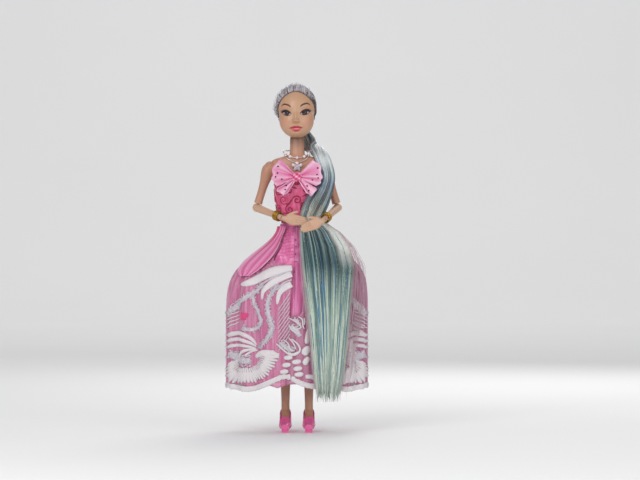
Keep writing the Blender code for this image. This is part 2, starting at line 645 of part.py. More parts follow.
def build_arm(side, word, hand_along, thumb_up):
    shoulder, elbow, wrist = arm_points(side)
    down = (elbow - shoulder).normalized()
    ahead = (wrist - elbow).normalized()
    hinge = down.cross(ahead).normalized()

    name = f"shoulder_ball_{word}"
    inward = Vector((-side, 0, 0))
    knob = add_object(name, ball_mesh(name, shoulder, SHOULDER_BALL_RADIUS), SKIN, shoulder)
    join(knob, rod_mesh("peg", shoulder, shoulder + inward * SHOULDER_PEG_LENGTH, SHOULDER_PEG_RADIUS))

    name = f"upper_arm_{word}"
    rings = limb_rings(shoulder, elbow, UPPER_ARM_SHARES, ARM_CUP_RADIUS, ARM_SIDES, steps=1)
    arm = add_object(name, loft_mesh(name, rings), SKIN, shoulder)
    cut(arm, ball_mesh("shoulder_cup", shoulder, SHOULDER_BALL_RADIUS + CLEARANCE))
    room = SHOULDER_PEG_RADIUS + CLEARANCE
    half = (ARM_CUP_RADIUS + OVERRUN + room) / 2
    corner = shoulder + Vector((side * room, 0.0, -room))
    cut(arm, block_mesh("raise_slot", corner + Vector((-side * half, 0.0, half)), *UPRIGHT,
                        (half, room, half)))
    stem_top = elbow - down * LINK_STEM_LENGTH
    cut(arm, rod_mesh("stem_hole", elbow, stem_top - down * CLEARANCE, LINK_STEM_RADIUS + CLEARANCE))

    name = f"elbow_link_{word}"
    half = hinge * (LINK_DISC_THICK / 2)
    disc = rod_mesh(name, elbow - half, elbow + half, LINK_DISC_RADIUS, sides=20)
    link = add_object(name, disc, SKIN, elbow)
    join(link, rod_mesh("stem", elbow, stem_top, LINK_STEM_RADIUS, sides=12))

    name = f"forearm_{word}"
    rings = limb_rings(elbow, wrist, FOREARM_SHARES, ELBOW_RADIUS, ARM_SIDES, guide=hinge, steps=1)
    forearm = add_object(name, loft_mesh(name, rings), SKIN, elbow)
    room = LINK_DISC_RADIUS + CLEARANCE
    behind = ahead * -ELBOW_RADIUS
    above = down * -ELBOW_RADIUS
    cut(forearm, block_mesh("elbow_slot", elbow + (behind + above), hinge, ahead, down,
                            (LINK_DISC_THICK / 2 + CLEARANCE, ELBOW_RADIUS + room, ELBOW_RADIUS + room)))
    cut(forearm, rod_mesh("wrist_hole", wrist, wrist - ahead * (WRIST_PEG_LENGTH + CLEARANCE),
                          WRIST_PEG_RADIUS + CLEARANCE, sides=12))
    build_bracelet(word, elbow, wrist)
    build_hand(word, side, wrist, ahead, Vector(hand_along).normalized(), Vector(thumb_up))


def build_bracelet(word, elbow, wrist):
    """A turned bangle with ribs, slipped over the forearm."""
    name = f"bracelet_{word}"
    ahead = (wrist - elbow).normalized()
    inner = ELBOW_RADIUS * smooth_between(FOREARM_SHARES, 7)[1] + CLEARANCE
    outer = inner + BRACELET_WALL
    steps = BRACELET_RIBS * 3
    outside = []
    for i in range(steps + 1):
        rib = BRACELET_RIB * (0.5 - 0.5 * math.cos(2 * math.pi * BRACELET_RIBS * i / steps))
        outside.append((outer + rib, BRACELET_LENGTH * (0.5 - i / steps)))
    profile = outside + [(inner, -BRACELET_LENGTH / 2), (inner, BRACELET_LENGTH / 2)]
    mesh = bpy.data.meshes.new(name)
    edges = [(i, (i + 1) % len(profile)) for i in range(len(profile))]
    mesh.from_pydata([(radius, 0.0, height) for radius, height in profile], edges, [])
    bangle = add_object(name, mesh, GOLD)
    turn = bangle.modifiers.new("Turn", "SCREW")
    turn.axis = "Z"
    turn.steps = BRACELET_STEPS
    turn.render_steps = BRACELET_STEPS
    turn.use_merge_vertices = True
    turn.merge_threshold = CLEARANCE / 10
    turn.use_smooth_shade = True
    place = elbow.lerp(wrist, BRACELET_PLACE_SHARE)
    bangle.location = place
    bangle.rotation_euler = Vector((0, 0, 1)).rotation_difference(ahead).to_euler()


def build_hand(word, side, wrist, ahead, along, thumb_up):
    """Palm, four fingers laid together and a thumb, with a peg into the forearm."""
    name = f"hand_{word}"
    back = along.cross(thumb_up).normalized() * side
    upward = back.cross(along).normalized() * side
    centre = Vector(wrist)
    rings = []
    before = 0.0
    for place, wide, thick in PALM_SHARES:
        heading = ahead.slerp(along, min(place / WRIST_BEND_SHARE, 1.0))
        centre = centre + heading * ((place - before) * PALM_LENGTH)
        before = place
        out = heading.cross(upward).normalized()
        rings.append(oval_ring(centre, out.cross(heading), out, wide * PALM_HALF_WIDTH,
                               thick * PALM_HALF_THICK, PALM_SIDES))
    start = centre - along * PALM_LENGTH
    hand = add_object(name, loft_mesh(name, rings), SKIN, wrist)
    spacing = (PALM_HALF_WIDTH - FINGER_RADIUS) * 2 / (len(FINGER_LENGTH_SHARES) - 1)
    for number, share in enumerate(FINGER_LENGTH_SHARES):
        height = PALM_HALF_WIDTH - FINGER_RADIUS - spacing * number
        root = start + along * (PALM_LENGTH * 0.86) + upward * height
        finger = finger_rings(root, along, upward, back, FINGER_LENGTH * share, -height * 0.35)
        join(hand, loft_mesh("finger", finger))
    root = start + along * (PALM_LENGTH * 0.42) + upward * (PALM_HALF_WIDTH * 0.55)
    lean = (along * 0.86 + upward * 0.50).normalized()
    rings = limb_rings(root, root + lean * THUMB_LENGTH, THUMB_SHARES, THUMB_RADIUS, FINGER_SIDES,
                       guide=back, steps=1)
    join(hand, loft_mesh("thumb", rings))
    join(hand, rod_mesh("peg", wrist + ahead * THUMB_RADIUS, wrist - ahead * WRIST_PEG_LENGTH,
                        WRIST_PEG_RADIUS, sides=10))


def finger_rings(root, along, upward, back, length, gather):
    """A finger that curls towards the palm and leans to its neighbours."""
    rings = []
    for place, size in ((0.0, 1.08), (0.40, 1.05), (0.75, 0.94), (0.93, 0.70), (1.0, 0.30)):
        centre = root + along * (length * place) + upward * (gather * place)
        centre -= back * (FINGER_CURL * place ** 2)
        thick = FINGER_RADIUS * size
        rings.append(oval_ring(centre, upward, back, thick * 1.1, thick, FINGER_SIDES))
    return rings


# Head

def pivot_point():
    return Vector((0.0, PIVOT_BACK, CHIN_Z + PIVOT_RISE))


def egg_reach(direction, offset, halves):
    """Distance from the head's inner point to the far side of an egg, along a direction."""
    scaled = np.array([direction[i] / halves[i] for i in range(3)])
    shift = np.array([-offset[i] / halves[i] for i in range(3)])
    a, b, c = scaled @ scaled, 2 * scaled @ shift, shift @ shift - 1.0
    inside = b * b - 4 * a * c
    return (-b + math.sqrt(inside)) / (2 * a) if inside > 0 else 0.0


def bump(x, z, place_x, place_z, wide, high):
    return math.exp(-((x - place_x) / wide) ** 2 - ((z - place_z) / high) ** 2)


def face_relief(x, z):
    """How far nose, lips, chin, cheeks and eye sockets stand out of the plain face."""
    nose_z = HEAD_HEIGHT * NOSE_RISE_SHARE
    eye_z = HEAD_HEIGHT * EYE_RISE_SHARE
    mouth_z = HEAD_HEIGHT * MOUTH_RISE_SHARE
    span = eye_z - nose_z
    tip = NOSE_REACH * bump(x, z, 0.0, nose_z, span * 0.30, span * 0.27)
    wings = NOSE_REACH * 0.34 * bump(abs(x), z, span * 0.30, nose_z - span * 0.04, span * 0.17, span * 0.18)
    bridge = NOSE_REACH * 0.55 * bump(x, z, 0.0, nose_z + span * 0.55, span * 0.24, span * 0.52)
    upper = LIP_REACH * bump(abs(x), z, span * 0.16, mouth_z + span * 0.13, span * 0.36, span * 0.10)
    lower = LIP_REACH * 1.15 * bump(x, z, 0.0, mouth_z - span * 0.16, span * 0.42, span * 0.15)
    chin = CHIN_REACH * bump(x, z, 0.0, HEAD_HEIGHT * 0.062, span * 0.62, span * 0.42)
    cheek = CHEEK_REACH * bump(abs(x), z, EYE_SPREAD * 1.12, nose_z, span * 0.62, span * 0.62)
    socket = SOCKET_DEPTH * bump(abs(x), z, EYE_SPREAD * 0.93, eye_z - span * 0.04, span * 0.62,
                                 span * 0.42)
    lid = SOCKET_DEPTH * 0.75 * bump(abs(x), z, EYE_SPREAD, eye_z - span * 0.14, span * 0.50, span * 0.30)
    return tip + wings + bridge + upper + lower + chin + cheek - socket + lid


def head_point(direction, grow=0.0):
    """A point on the head, in its own upright frame, whose origin is the chin below the pivot."""
    eye_z = HEAD_HEIGHT * EYE_RISE_SHARE
    inner = np.array((0.0, 0.0, eye_z))
    half_face = HEAD_HEIGHT * 0.355
    skull = egg_reach(direction, (0.0, PIVOT_BACK, HEAD_HEIGHT - SKULL_HALF_DEPTH - eye_z),
                      (SKULL_HALF_WIDTH, SKULL_HALF_DEPTH, SKULL_HALF_DEPTH))
    face = egg_reach(direction, (0.0, -FACE_HALF_DEPTH * 0.36, half_face - eye_z),
                     (FACE_HALF_WIDTH, FACE_HALF_DEPTH, half_face))
    nape = egg_reach(direction, (0.0, PIVOT_BACK * 1.6, PIVOT_RISE * 1.12 - eye_z),
                     (NAPE_RADIUS, NAPE_RADIUS, PIVOT_RISE))
    reach = (skull ** BLEND_POWER + face ** BLEND_POWER + nape ** BLEND_POWER) ** (1 / BLEND_POWER)
    point = inner + np.array(direction) * (reach + grow)
    if point[1] < 0:
        facing = min(1.0, -point[1] / FACE_HALF_DEPTH)
        point[1] -= face_relief(point[0], point[2]) * facing ** 2
    return Vector(point)


def head_to_world(point):
    """Tilt and turn the head's own frame about the neck, as the doll carries it."""
    centre = Vector((0.0, PIVOT_BACK, PIVOT_RISE))
    turn = Matrix.Rotation(HEAD_TURN, 3, "Z") @ Matrix.Rotation(HEAD_TILT, 3, "Y")
    return pivot_point() + turn @ (point - centre)


def direction_at(around, upward):
    """A direction from its angle round the head, from the face towards +X, and its rise."""
    return (math.cos(upward) * math.sin(around), -math.cos(upward) * math.cos(around), math.sin(upward))


def build_head():
    name = "head"
    rings = []
    for row in range(1, HEAD_ROWS):
        rise = -math.pi / 2 + math.pi * row / HEAD_ROWS
        rings.append([head_to_world(head_point(direction_at(2 * math.pi * col / HEAD_COLUMNS, rise)))
                      for col in range(HEAD_COLUMNS)])
    pivot = pivot_point()
    head = add_object(name, loft_mesh(name, rings), SKIN, pivot)
    cut(head, ball_mesh("knob_room", pivot, KNOB_RADIUS + CLEARANCE, 24, 16))
    low = pivot - Vector((0, 0, PIVOT_RISE + OVERRUN))
    cut(head, rod_mesh("neck_hole", low, pivot, NECK_HOLE_RADIUS, KNOB_RADIUS * 0.9, sides=28))

    name = "neck_knob"
    knob = add_object(name, ball_mesh(name, pivot, KNOB_RADIUS), SKIN, pivot)
    foot = Vector((pivot.x, pivot.y, CHIN_Z - OVERRUN * 1.8))
    join(knob, rod_mesh("post", foot, pivot, KNOB_POST_RADIUS))


# Hair

def hairline(around):
    """The rise of the hair's edge round the head: high on the brow, low at the nape."""
    front = 0.5 + 0.5 * math.cos(around)
    if abs(around) < math.pi / 2:
        share = math.cos(around) ** 0.75
        return HAIRLINE_SIDE + (HAIRLINE_FRONT - HAIRLINE_SIDE) * share
    return HAIRLINE_SIDE + (HAIRLINE_BACK - HAIRLINE_SIDE) * (1 - 2 * front) ** 0.8


def build_hair_cap():
    """The combed-back hair, as a cap that grows out of the hairline."""
    name = "hair_cap"
    outer, inner = [], []
    for row in range(CAP_ROWS):
        share = row / CAP_ROWS
        top, low = [], []
        for col in range(CAP_COLUMNS):
            around = 2 * math.pi * col / CAP_COLUMNS - math.pi
            edge = hairline(around)
            rise = edge + (math.pi / 2 - edge) * share
            direction = direction_at(around, rise)
            swell = CAP_LIFT + HAIR_THICK * min(1.0, 0.3 + share * 3.2)
            top.append(head_to_world(head_point(direction, swell)))
            low.append(head_to_world(head_point(direction, CAP_LIFT)))
        outer.append(top)
        inner.append(low)
    rings = list(reversed(inner)) + outer
    add_object(name, loft_mesh(name, rings), HAIR, pivot_point())


def sweep_rows():
    """Places of the hair from the nape over the doll's left shoulder to the waist."""
    height = CHIN_Z - WAIST_Z
    span = SHOULDER_HALF_SPAN
    return [(right * span, back * span, WAIST_Z + up * height, wide * span, thick * SWEEP_HALF_THICK)
            for right, back, up, wide, thick in SWEEP_SHARES]


def build_hair_sweep():
    name = "hair_sweep"
    rows = smooth_rows(sweep_rows(), 2)
    rings = []
    for i, row in enumerate(rows):
        before = Vector(rows[max(i - 1, 0)][:3])
        after = Vector(rows[min(i + 1, len(rows) - 1)][:3])
        heading = after - before if i < len(rows) - 1 else Vector((0, 0, -1))
        along, across, outward = frame_along(heading, sweep_guide(i / len(rows)))
        rings.append(oval_ring(row[:3], across, outward, row[3], row[4], HAIR_SIDES))
    add_object(name, loft_mesh(name, rings), HAIR, pivot_point())


def sweep_guide(share):
    """The direction that the hair's flat side faces: back, then up over the shoulder, then front."""
    turn = math.pi * min(max((share - 0.05) / 0.42, 0.0), 1.0)
    return Vector((0.0, math.cos(turn), math.sin(turn) * 0.9))


def skirt_profile(z, side, grow):
    """Half width and half depth of the skirt at a height; the swell is fuller towards +X."""
    depth = max(SKIRT_TOP_Z - z, 0.0)
    swell = SKIRT_SWELL * (1 - SWELL_LEAN_SHARE * side)
    share = 1 - math.exp(-(depth / swell) ** SWELL_POWER)
    half = WAIST_HALF_WIDTH + SKIRT_WAIST_GROW
    deep = WAIST_FRONT + SKIRT_WAIST_GROW
    return (half + (SKIRT_HALF_WIDTH - half) * share + grow,
            deep + (SKIRT_HALF_DEPTH - deep) * share + grow)


def skirt_point(angle, z, grow=0.0, layer=1.0, folds=1.0):
    """A point on a skirt layer; the angle runs from the front towards +X."""
    side, ahead = math.sin(angle), math.cos(angle)
    half, deep = skirt_profile(z, side, 0.0)
    down = (SKIRT_TOP_Z - z) / OVERSKIRT_DROP
    waist = WAIST_HALF_WIDTH + SKIRT_WAIST_GROW
    waist_deep = WAIST_FRONT + SKIRT_WAIST_GROW
    half = waist + (half - waist) * layer + grow
    deep = waist_deep + (deep * (1.0 if ahead > 0 else SKIRT_BACK_SHARE) - waist_deep) * layer + grow
    wave = math.cos(FOLD_COUNT * angle + 1.3 * side)
    fold = folds * FOLD_DEPTH * min(max(down * 2.2, 0.0), 1.0) * wave
    power = 2 / SKIRT_ROUNDNESS
    x = math.copysign(abs(side) ** power, side) * (half + fold)
    y = -math.copysign(abs(ahead) ** power, ahead) * (deep + fold)
    return Vector((x, y, z))


def hem_z(angle, drop, scallop):
    return SKIRT_TOP_Z - drop + scallop * abs(math.cos(SCALLOP_COUNT / 2 * angle))


def build_skirt_piece(name, first, last, drop, grow, thick, layer, scallop, look, columns, rows):
    """One panel of a skirt layer, from the waistband to its hem."""
    front, back = [], []
    for row in range(rows + 1):
        share = (row / rows) ** 1.15
        outside, inside = [], []
        for col in range(columns + 1):
            angle = first + (last - first) * col / columns
            z = SKIRT_TOP_Z - share * (SKIRT_TOP_Z - hem_z(angle, drop, scallop))
            outside.append(skirt_point(angle, z, grow + thick, layer))
            inside.append(skirt_point(angle, z, grow, layer))
        front.append(outside)
        back.append(inside)
    pivot = Vector((0.0, 0.0, HIP_Z))
    add_object(name, sheet_mesh(name, front, back), look, pivot)


def build_skirt():
    quarter = math.pi / 2
    panels = (("overskirt_front_left", FRONT_EDGE, quarter), ("overskirt_back_left", quarter, quarter * 2),
              ("overskirt_back_right", -quarter * 2, -quarter),
              ("overskirt_front_right", -quarter, FRONT_EDGE))
    for name, first, last in panels:
        build_skirt_piece(name, first + SEAM_GAP, last - SEAM_GAP, OVERSKIRT_DROP, 0.0,
                          OVERSKIRT_THICK, 1.0, SCALLOP_DEPTH, TULLE, SKIRT_COLUMNS, SKIRT_ROWS)
    inward = -(UNDERSKIRT_THICK + CLEARANCE * 2)
    panels = (("underskirt_front", -quarter, quarter), ("underskirt_back", quarter, quarter * 3))
    for name, first, last in panels:
        build_skirt_piece(name, first + SEAM_GAP, last - SEAM_GAP, UNDERSKIRT_DROP, inward,
                          UNDERSKIRT_THICK, UNDERSKIRT_SHARE, 0.0, SATIN, SKIRT_COLUMNS + 3, SKIRT_ROWS - 3)


def front_depth(x, z, grow):
    """How far forward the skirt's envelope stands at a place across it."""
    half, deep = skirt_profile(z, math.copysign(1.0, x) * min(abs(x) / SKIRT_HALF_WIDTH, 1.0), grow)
    share = min(abs(x) / half, 1.0)
    return deep * (1 - share ** SKIRT_ROUNDNESS) ** (1 / SKIRT_ROUNDNESS)


def build_hair_fall():
    """The hair's length, spread over the front of the skirt on the doll's left."""
    name = "hair_fall"
    top = WAIST_Z + SWEEP_SHARES[-1][2] * (CHIN_Z - WAIST_Z) - CLEARANCE
    grow = FOLD_DEPTH + OVERSKIRT_THICK + CLEARANCE * 2
    columns = HAIR_SIDES
    front, back = [], []
    for down, left, right, thick in smooth_rows(FALL_SHARES, 2):
        z = top - down * HAIR_LENGTH
        outside, inside = [], []
        for col in range(columns + 1):
            across = col / columns
            x = (left + (right - left) * across) * SKIRT_HALF_WIDTH
            deep = front_depth(x, z, grow)
            hang = FALL_HANG - SWEEP_HALF_THICK
            deep = (deep ** 6 + hang ** 6) ** (1 / 6)
            round_edge = math.sqrt(max(1 - (2 * across - 1) ** 2, 0.0)) * 0.8 + 0.2
            inside.append(Vector((x, -deep, z)))
            outside.append(Vector((x, -deep - FALL_THICK * thick * round_edge, z)))
        front.append(outside)
        back.append(inside)
    add_object(name, sheet_mesh(name, front, back), HAIR, Vector((0.0, 0.0, top)))


def build_drape():
    """The sash that runs from the waist across the front to the doll's right."""
    name = "side_drape"
    grow = FOLD_DEPTH + OVERSKIRT_THICK + CLEARANCE * 2
    power = SKIRT_ROUNDNESS / 2
    front, back = [], []
    for down, outer, inner in smooth_rows(DRAPE_SHARES, 2):
        z = SKIRT_TOP_Z - down * OVERSKIRT_DROP
        outside, inside = [], []
        for col in range(HAIR_SIDES + 1):
            share = -(outer + (inner - outer) * col / HAIR_SIDES)
            angle = math.asin(math.copysign(abs(share) ** power, share))
            ripple = FOLD_DEPTH / 2 * (1 - math.cos(6 * math.pi * col / HAIR_SIDES))
            inside.append(skirt_point(angle, z, grow, folds=0.0))
            outside.append(skirt_point(angle, z, grow + DRAPE_THICK + ripple, folds=0.0))
        front.append(outside)
        back.append(inside)
    add_object(name, sheet_mesh(name, front, back), ORGANZA, Vector((0.0, 0.0, HIP_Z)))


# Bodice and bow

def build_bodice():
    name = "bodice"
    low = BAND_TOP_Z + CLEARANCE
    outer, inner = [], []
    for row in range(BODICE_ROWS + 1):
        share = row / BODICE_ROWS
        outside, inside = [], []
        for col in range(TORSO_SIDES):
            angle = 2 * math.pi * col / TORSO_SIDES
            dip = BODICE_DIP_SHARE * (1 - math.cos(2 * angle))
            top = WAIST_Z + WAIST_TO_SHOULDER * (BODICE_TOP_SHARE - dip)
            z = low + (top - low) * share
            outside.append(torso_point(angle, z, BODICE_EASE + BODICE_THICK))
            inside.append(torso_point(angle, z, BODICE_EASE))
        outer.append(outside)
        inner.append(inside)
    add_object(name, sleeve_mesh(name, outer, inner), BROCADE)

    name = "back_closure"
    grow = BODICE_EASE + BODICE_THICK + CLEARANCE * 1.5
    reach = CLOSURE_HALF_WIDTH / BUST_HALF_WIDTH
    front, back = [], []
    for row in range(BODICE_ROWS + 1):
        z = low + (WAIST_TO_SHOULDER * BODICE_TOP_SHARE + WAIST_Z - low) * (0.02 + 0.94 * row / BODICE_ROWS)
        angles = [math.pi + reach * (2 * col / 4 - 1) for col in range(5)]
        front.append([torso_point(angle, z, grow + CLOSURE_THICK) for angle in angles])
        back.append([torso_point(angle, z, grow) for angle in angles])
    add_object(name, sheet_mesh(name, front, back), SATIN)


def build_waistband():
    name = "waistband"
    levels = [BAND_TOP_Z - BAND_HEIGHT * share for share in (0.0, 0.5, 1.0)]
    outer = [torso_ring(z, BODICE_EASE + BAND_THICK) for z in levels]
    inner = [torso_ring(z, BODICE_EASE) for z in levels]
    add_object(name, sleeve_mesh(name, outer, inner), SATIN)


def bow_centre():
    z = WAIST_Z + BOW_RISE_SHARE * WAIST_TO_SHOULDER
    bust_z = WAIST_Z + CHEST_SHARES[2][0] * WAIST_TO_SHOULDER
    return Vector((0.0, torso_point(0.35, bust_z, BODICE_THICK + BODICE_EASE).y - BOW_STAND_OFF, z))


def build_bow():
    """Two gathered loops and two tails that spread from a knot."""
    centre = bow_centre()
    name = "bow_knot"
    knot = ball_mesh(name, centre, KNOT_RADIUS, 12, 8)
    flatten = Matrix.Diagonal((1.0, 0.7, 1.15, 1.0))
    knot.transform(Matrix.Translation(centre) @ flatten @ Matrix.Translation(-centre))
    add_object(name, knot, ORGANZA, centre)
    for word, side in (("left", 1), ("right", -1)):
        build_bow_piece(f"bow_loop_{word}", centre, side, BOW_LOOP_SHARES)
        build_bow_piece(f"bow_tail_{word}", centre, side, BOW_TAIL_SHARES)


def build_bow_piece(name, centre, side, shares):
    first, last, first_reach, last_reach, folds = shares
    columns, rows = 10, 4
    near = KNOT_RADIUS * 1.15 + CLEARANCE
    front, back = [], []
    for row in range(rows + 1):
        out = row / rows
        outside, inside = [], []
        for col in range(columns + 1):
            across = col / columns
            angle = math.radians(first + (last - first) * across)
            far = BOW_REACH * (first_reach + (last_reach - first_reach) * across)
            far *= 1.0 - 0.10 * math.sin(math.pi * across * folds) ** 2
            radius = near + (far - near) * out
            wave = BOW_FOLD * out ** 0.6 * math.cos(2 * math.pi * folds * across)
            x = side * radius * math.cos(angle)
            z = radius * math.sin(angle)
            y = wave - BOW_FOLD * out
            outside.append(centre + Vector((x, y - BOW_THICK / 2, z)))
            inside.append(centre + Vector((x, y + BOW_THICK / 2, z)))
        front.append(outside)
        back.append(inside)
    add_object(name, sheet_mesh(name, front, back), ORGANZA, centre)


# Necklaces

def tube_mesh(name, points, radius):
    """A round cord along points, as a bevelled curve made into a closed mesh."""
    curve = bpy.data.curves.new(name, "CURVE")
    curve.dimensions = "3D"
    curve.bevel_depth = radius
    curve.bevel_resolution = 1
    curve.use_fill_caps = True
    line = curve.splines.new("POLY")
    line.points.add(len(points) - 1)
    for place, point in zip(line.points, points):
        place.co = (*point, 1.0)
    holder = bpy.data.objects.new(name, curve)
    bpy.context.scene.collection.objects.link(holder)
    view = bpy.context.evaluated_depsgraph_get()
    mesh = bpy.data.meshes.new_from_object(holder.evaluated_get(view))
    bpy.data.objects.remove(holder, do_unlink=True)
    shape = bmesh.new()
    shape.from_mesh(mesh)
    bmesh.ops.remove_doubles(shape, verts=shape.verts, dist=radius / 20)
    bmesh.ops.recalc_face_normals(shape, faces=shape.faces)
    shape.to_mesh(mesh)
    shape.free()
    mesh.materials.clear()
    return mesh


def skin_front(x, z, grow):
    """The front of the chest or neck at a place across it."""
    half, front = (np.interp(z, TORSO_TABLE[:, 0], TORSO_TABLE[:, col]) + grow for col in (1, 2))
    share = min(abs(x) / half, 1.0)
    return -front * math.sqrt(1 - share ** 2)


def strand_point(angle):
    """A place on the short strand round the neck, low in front and high behind."""
    x = STRAND_HALF_WIDTH * math.sin(angle)
    z = SHOULDER_Z + SHOULDER_TO_CHIN * STRAND_PLACE_SHARE - STRAND_RISE * math.cos(angle)
    near = skin_front(x, z, PEARL_RADIUS + CLEARANCE)
    blend = min(max((math.cos(angle) - 0.2) / 0.6, 0.0), 1.0)
    ring = -math.cos(angle) * (NECK_RADIUS + NECK_LEAN + PEARL_RADIUS)
    y = near * blend + ring * (1 - blend)
    return Vector((x, y, z))


def build_necklaces():
    name = "pearl_strand"
    places = [2 * math.pi * i / STRAND_STEPS for i in range(STRAND_STEPS)]
    loop = [strand_point(angle + math.pi + math.pi / STRAND_STEPS) for angle in places]
    strand = add_object(name, tube_mesh(name, loop, STRAND_RADIUS), PEARL)
    for number in range(PEARL_COUNT):
        angle = (number - (PEARL_COUNT - 1) / 2) * PEARL_STEP
        join(strand, ball_mesh("pearl", strand_point(angle), PEARL_RADIUS, 6, 4))

    name = "pendant_cord"
    bottom_z = strand_point(0.0).z - PEARL_RADIUS - CORD_DROP * 0.62
    points = []
    for i in range(STRAND_STEPS):
        angle = 2 * math.pi * i / STRAND_STEPS + math.pi + math.pi / STRAND_STEPS
        on_strand = strand_point(angle)
        low = max(math.cos(angle), 0.0) ** 1.5
        x = on_strand.x * 1.16
        z = on_strand.z + CORD_RADIUS - (on_strand.z + CORD_RADIUS - bottom_z) * low
        away = 1.0 + (PEARL_RADIUS + STRAND_RADIUS + CLEARANCE) / STRAND_HALF_WIDTH
        on_skin = min(skin_front(x, z, CORD_RADIUS + CLEARANCE), on_strand.y * (1 - low))
        y = on_strand.y * away if low < 0.02 else on_skin
        points.append(Vector((x, y - CORD_RADIUS, z)))
    add_object(name, tube_mesh(name, points, CORD_RADIUS), PEARL)

    name = "pendant"
    middle_z = bottom_z - PENDANT_DROP
    centre = Vector((0.0, skin_front(0.0, middle_z, PENDANT_THICK * 2), middle_z))
    star = []
    for i in range(PENDANT_POINTS * 2):
        turn = math.pi * i / PENDANT_POINTS
        reach = PENDANT_RADIUS * (0.76 + 0.24 * math.cos(PENDANT_POINTS * turn))
        star.append((reach * math.sin(turn), reach * math.cos(turn)))
    rings = []
    for lift, size in ((1.0, 0.86), (0.6, 1.0), (-0.6, 1.0), (-1.0, 0.86)):
        rings.append([centre + Vector((x * size, -lift * PENDANT_THICK / 2, z * size)) for x, z in star])
    jewel = add_object(name, loft_mesh(name, rings), PEARL)
    for x, z in ((-1.0, 0.75), (0.0, 1.15), (1.0, 0.75)):
        place = Vector((x * PENDANT_RADIUS * 0.7, -PENDANT_THICK / 2, z * PENDANT_RADIUS * 0.9))
        join(jewel, ball_mesh("pearl", centre + place, PEARL_RADIUS, 6, 4))


build_torso()
build_hips()
build_legs()
build_arm(-1, "right", (0.97, -0.07, -0.13), (0.10, 0.10, 1.0))
build_arm(1, "left", (-0.92, -0.08, -0.38), (-0.30, 0.10, 1.0))
build_head()
build_hair_cap()
build_hair_sweep()
build_hair_fall()
build_bodice()
build_waistband()
build_bow()
build_skirt()
build_drape()
build_necklaces()
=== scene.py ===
import math
import random

import bmesh
import bpy
import numpy as np
from mathutils import Matrix, Vector


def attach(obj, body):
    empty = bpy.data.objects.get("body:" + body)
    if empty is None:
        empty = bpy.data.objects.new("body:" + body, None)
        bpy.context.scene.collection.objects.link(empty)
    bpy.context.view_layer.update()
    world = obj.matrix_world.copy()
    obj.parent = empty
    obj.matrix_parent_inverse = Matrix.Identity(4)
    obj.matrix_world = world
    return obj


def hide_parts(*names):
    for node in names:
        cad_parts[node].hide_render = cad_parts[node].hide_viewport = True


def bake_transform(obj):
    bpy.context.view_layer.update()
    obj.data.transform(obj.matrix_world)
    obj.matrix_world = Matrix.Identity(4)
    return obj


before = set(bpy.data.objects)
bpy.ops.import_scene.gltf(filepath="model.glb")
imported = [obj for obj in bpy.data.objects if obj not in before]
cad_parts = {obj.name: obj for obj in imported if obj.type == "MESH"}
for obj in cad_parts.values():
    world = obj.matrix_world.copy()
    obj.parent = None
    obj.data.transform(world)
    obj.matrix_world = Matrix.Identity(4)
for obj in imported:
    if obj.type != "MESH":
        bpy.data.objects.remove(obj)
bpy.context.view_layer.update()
chance = random.Random(11)
scatter = np.random.default_rng(11)

# Sizes in metres, the same as the solids' own
PIXEL = 0.00082
AXIS_PIXEL, FLOOR_PIXEL = 297.2, 431.0
PICTURE_WIDE, PICTURE_HIGH = 640, 480
HIP, WAIST, SHOULDER, CHIN = 0.153, 0.1725, 0.2143, 0.240
HEAD_HIGH = 0.0425
PELVIS_HIGH, CHEST_HIGH, NECK_HIGH = 0.0195, 0.0418, 0.0257
BAND_TOP = WAIST - PELVIS_HIGH * 0.12
SKIRT_TOP = BAND_TOP - 0.0029
SKIRT_HALF, SKIRT_DEEP, SKIRT_BACK = 0.0564, 0.0360, 1.04
SKIRT_SWELL, SWELL_POWER, ROUNDNESS = 0.0252, 2.0, 2.35
WAIST_HALF, WAIST_DEEP = 0.0138, 0.0100
DROP = 0.1305
FOLDS, FOLD_DEEP = 15, 0.0014
SIDES = (("left", 1), ("right", -1))

# The camera stands level in front of the doll, with the doll left of its middle
DISTANCE, SENSOR = 2.2, 36.0
eye = bpy.data.cameras.new("view")
eye.sensor_width = SENSOR
eye.lens = SENSOR * DISTANCE / (PICTURE_WIDE * PIXEL)
camera = bpy.data.objects.new("view", eye)
camera.location = ((PICTURE_WIDE / 2 - AXIS_PIXEL) * PIXEL, -DISTANCE,
                   (FLOOR_PIXEL - PICTURE_HIGH / 2) * PIXEL)
camera.rotation_euler = (math.pi / 2, 0, 0)
bpy.context.scene.collection.objects.link(camera)
bpy.context.scene.camera = camera
bpy.context.scene.view_settings.view_transform = "Standard"


class Wire:
    """A socket of a finish. Sums made with it add Math nodes."""

    def __init__(self, finish, socket):
        self.finish = finish
        self.socket = socket

    def sum(self, operation, *terms):
        return self.finish.add("ShaderNodeMath", {"operation": operation}, dict(enumerate(terms)))

    def __add__(self, other):
        return self.sum("ADD", self, other)

    def __sub__(self, other):
        return self.sum("SUBTRACT", self, other)

    def __rsub__(self, other):
        return self.sum("SUBTRACT", other, self)

    def __mul__(self, other):
        return self.sum("MULTIPLY", self, other)

    def __pow__(self, other):
        return self.sum("POWER", self, other)

    __radd__ = __add__
    __rmul__ = __mul__

    def above(self, edge, soft):
        """0 below the edge, 1 above it, with a soft step."""
        sockets = {"Value": self, "From Min": edge - soft, "From Max": edge + soft}
        return self.finish.add("ShaderNodeMapRange", {"interpolation_type": "SMOOTHSTEP"}, sockets)


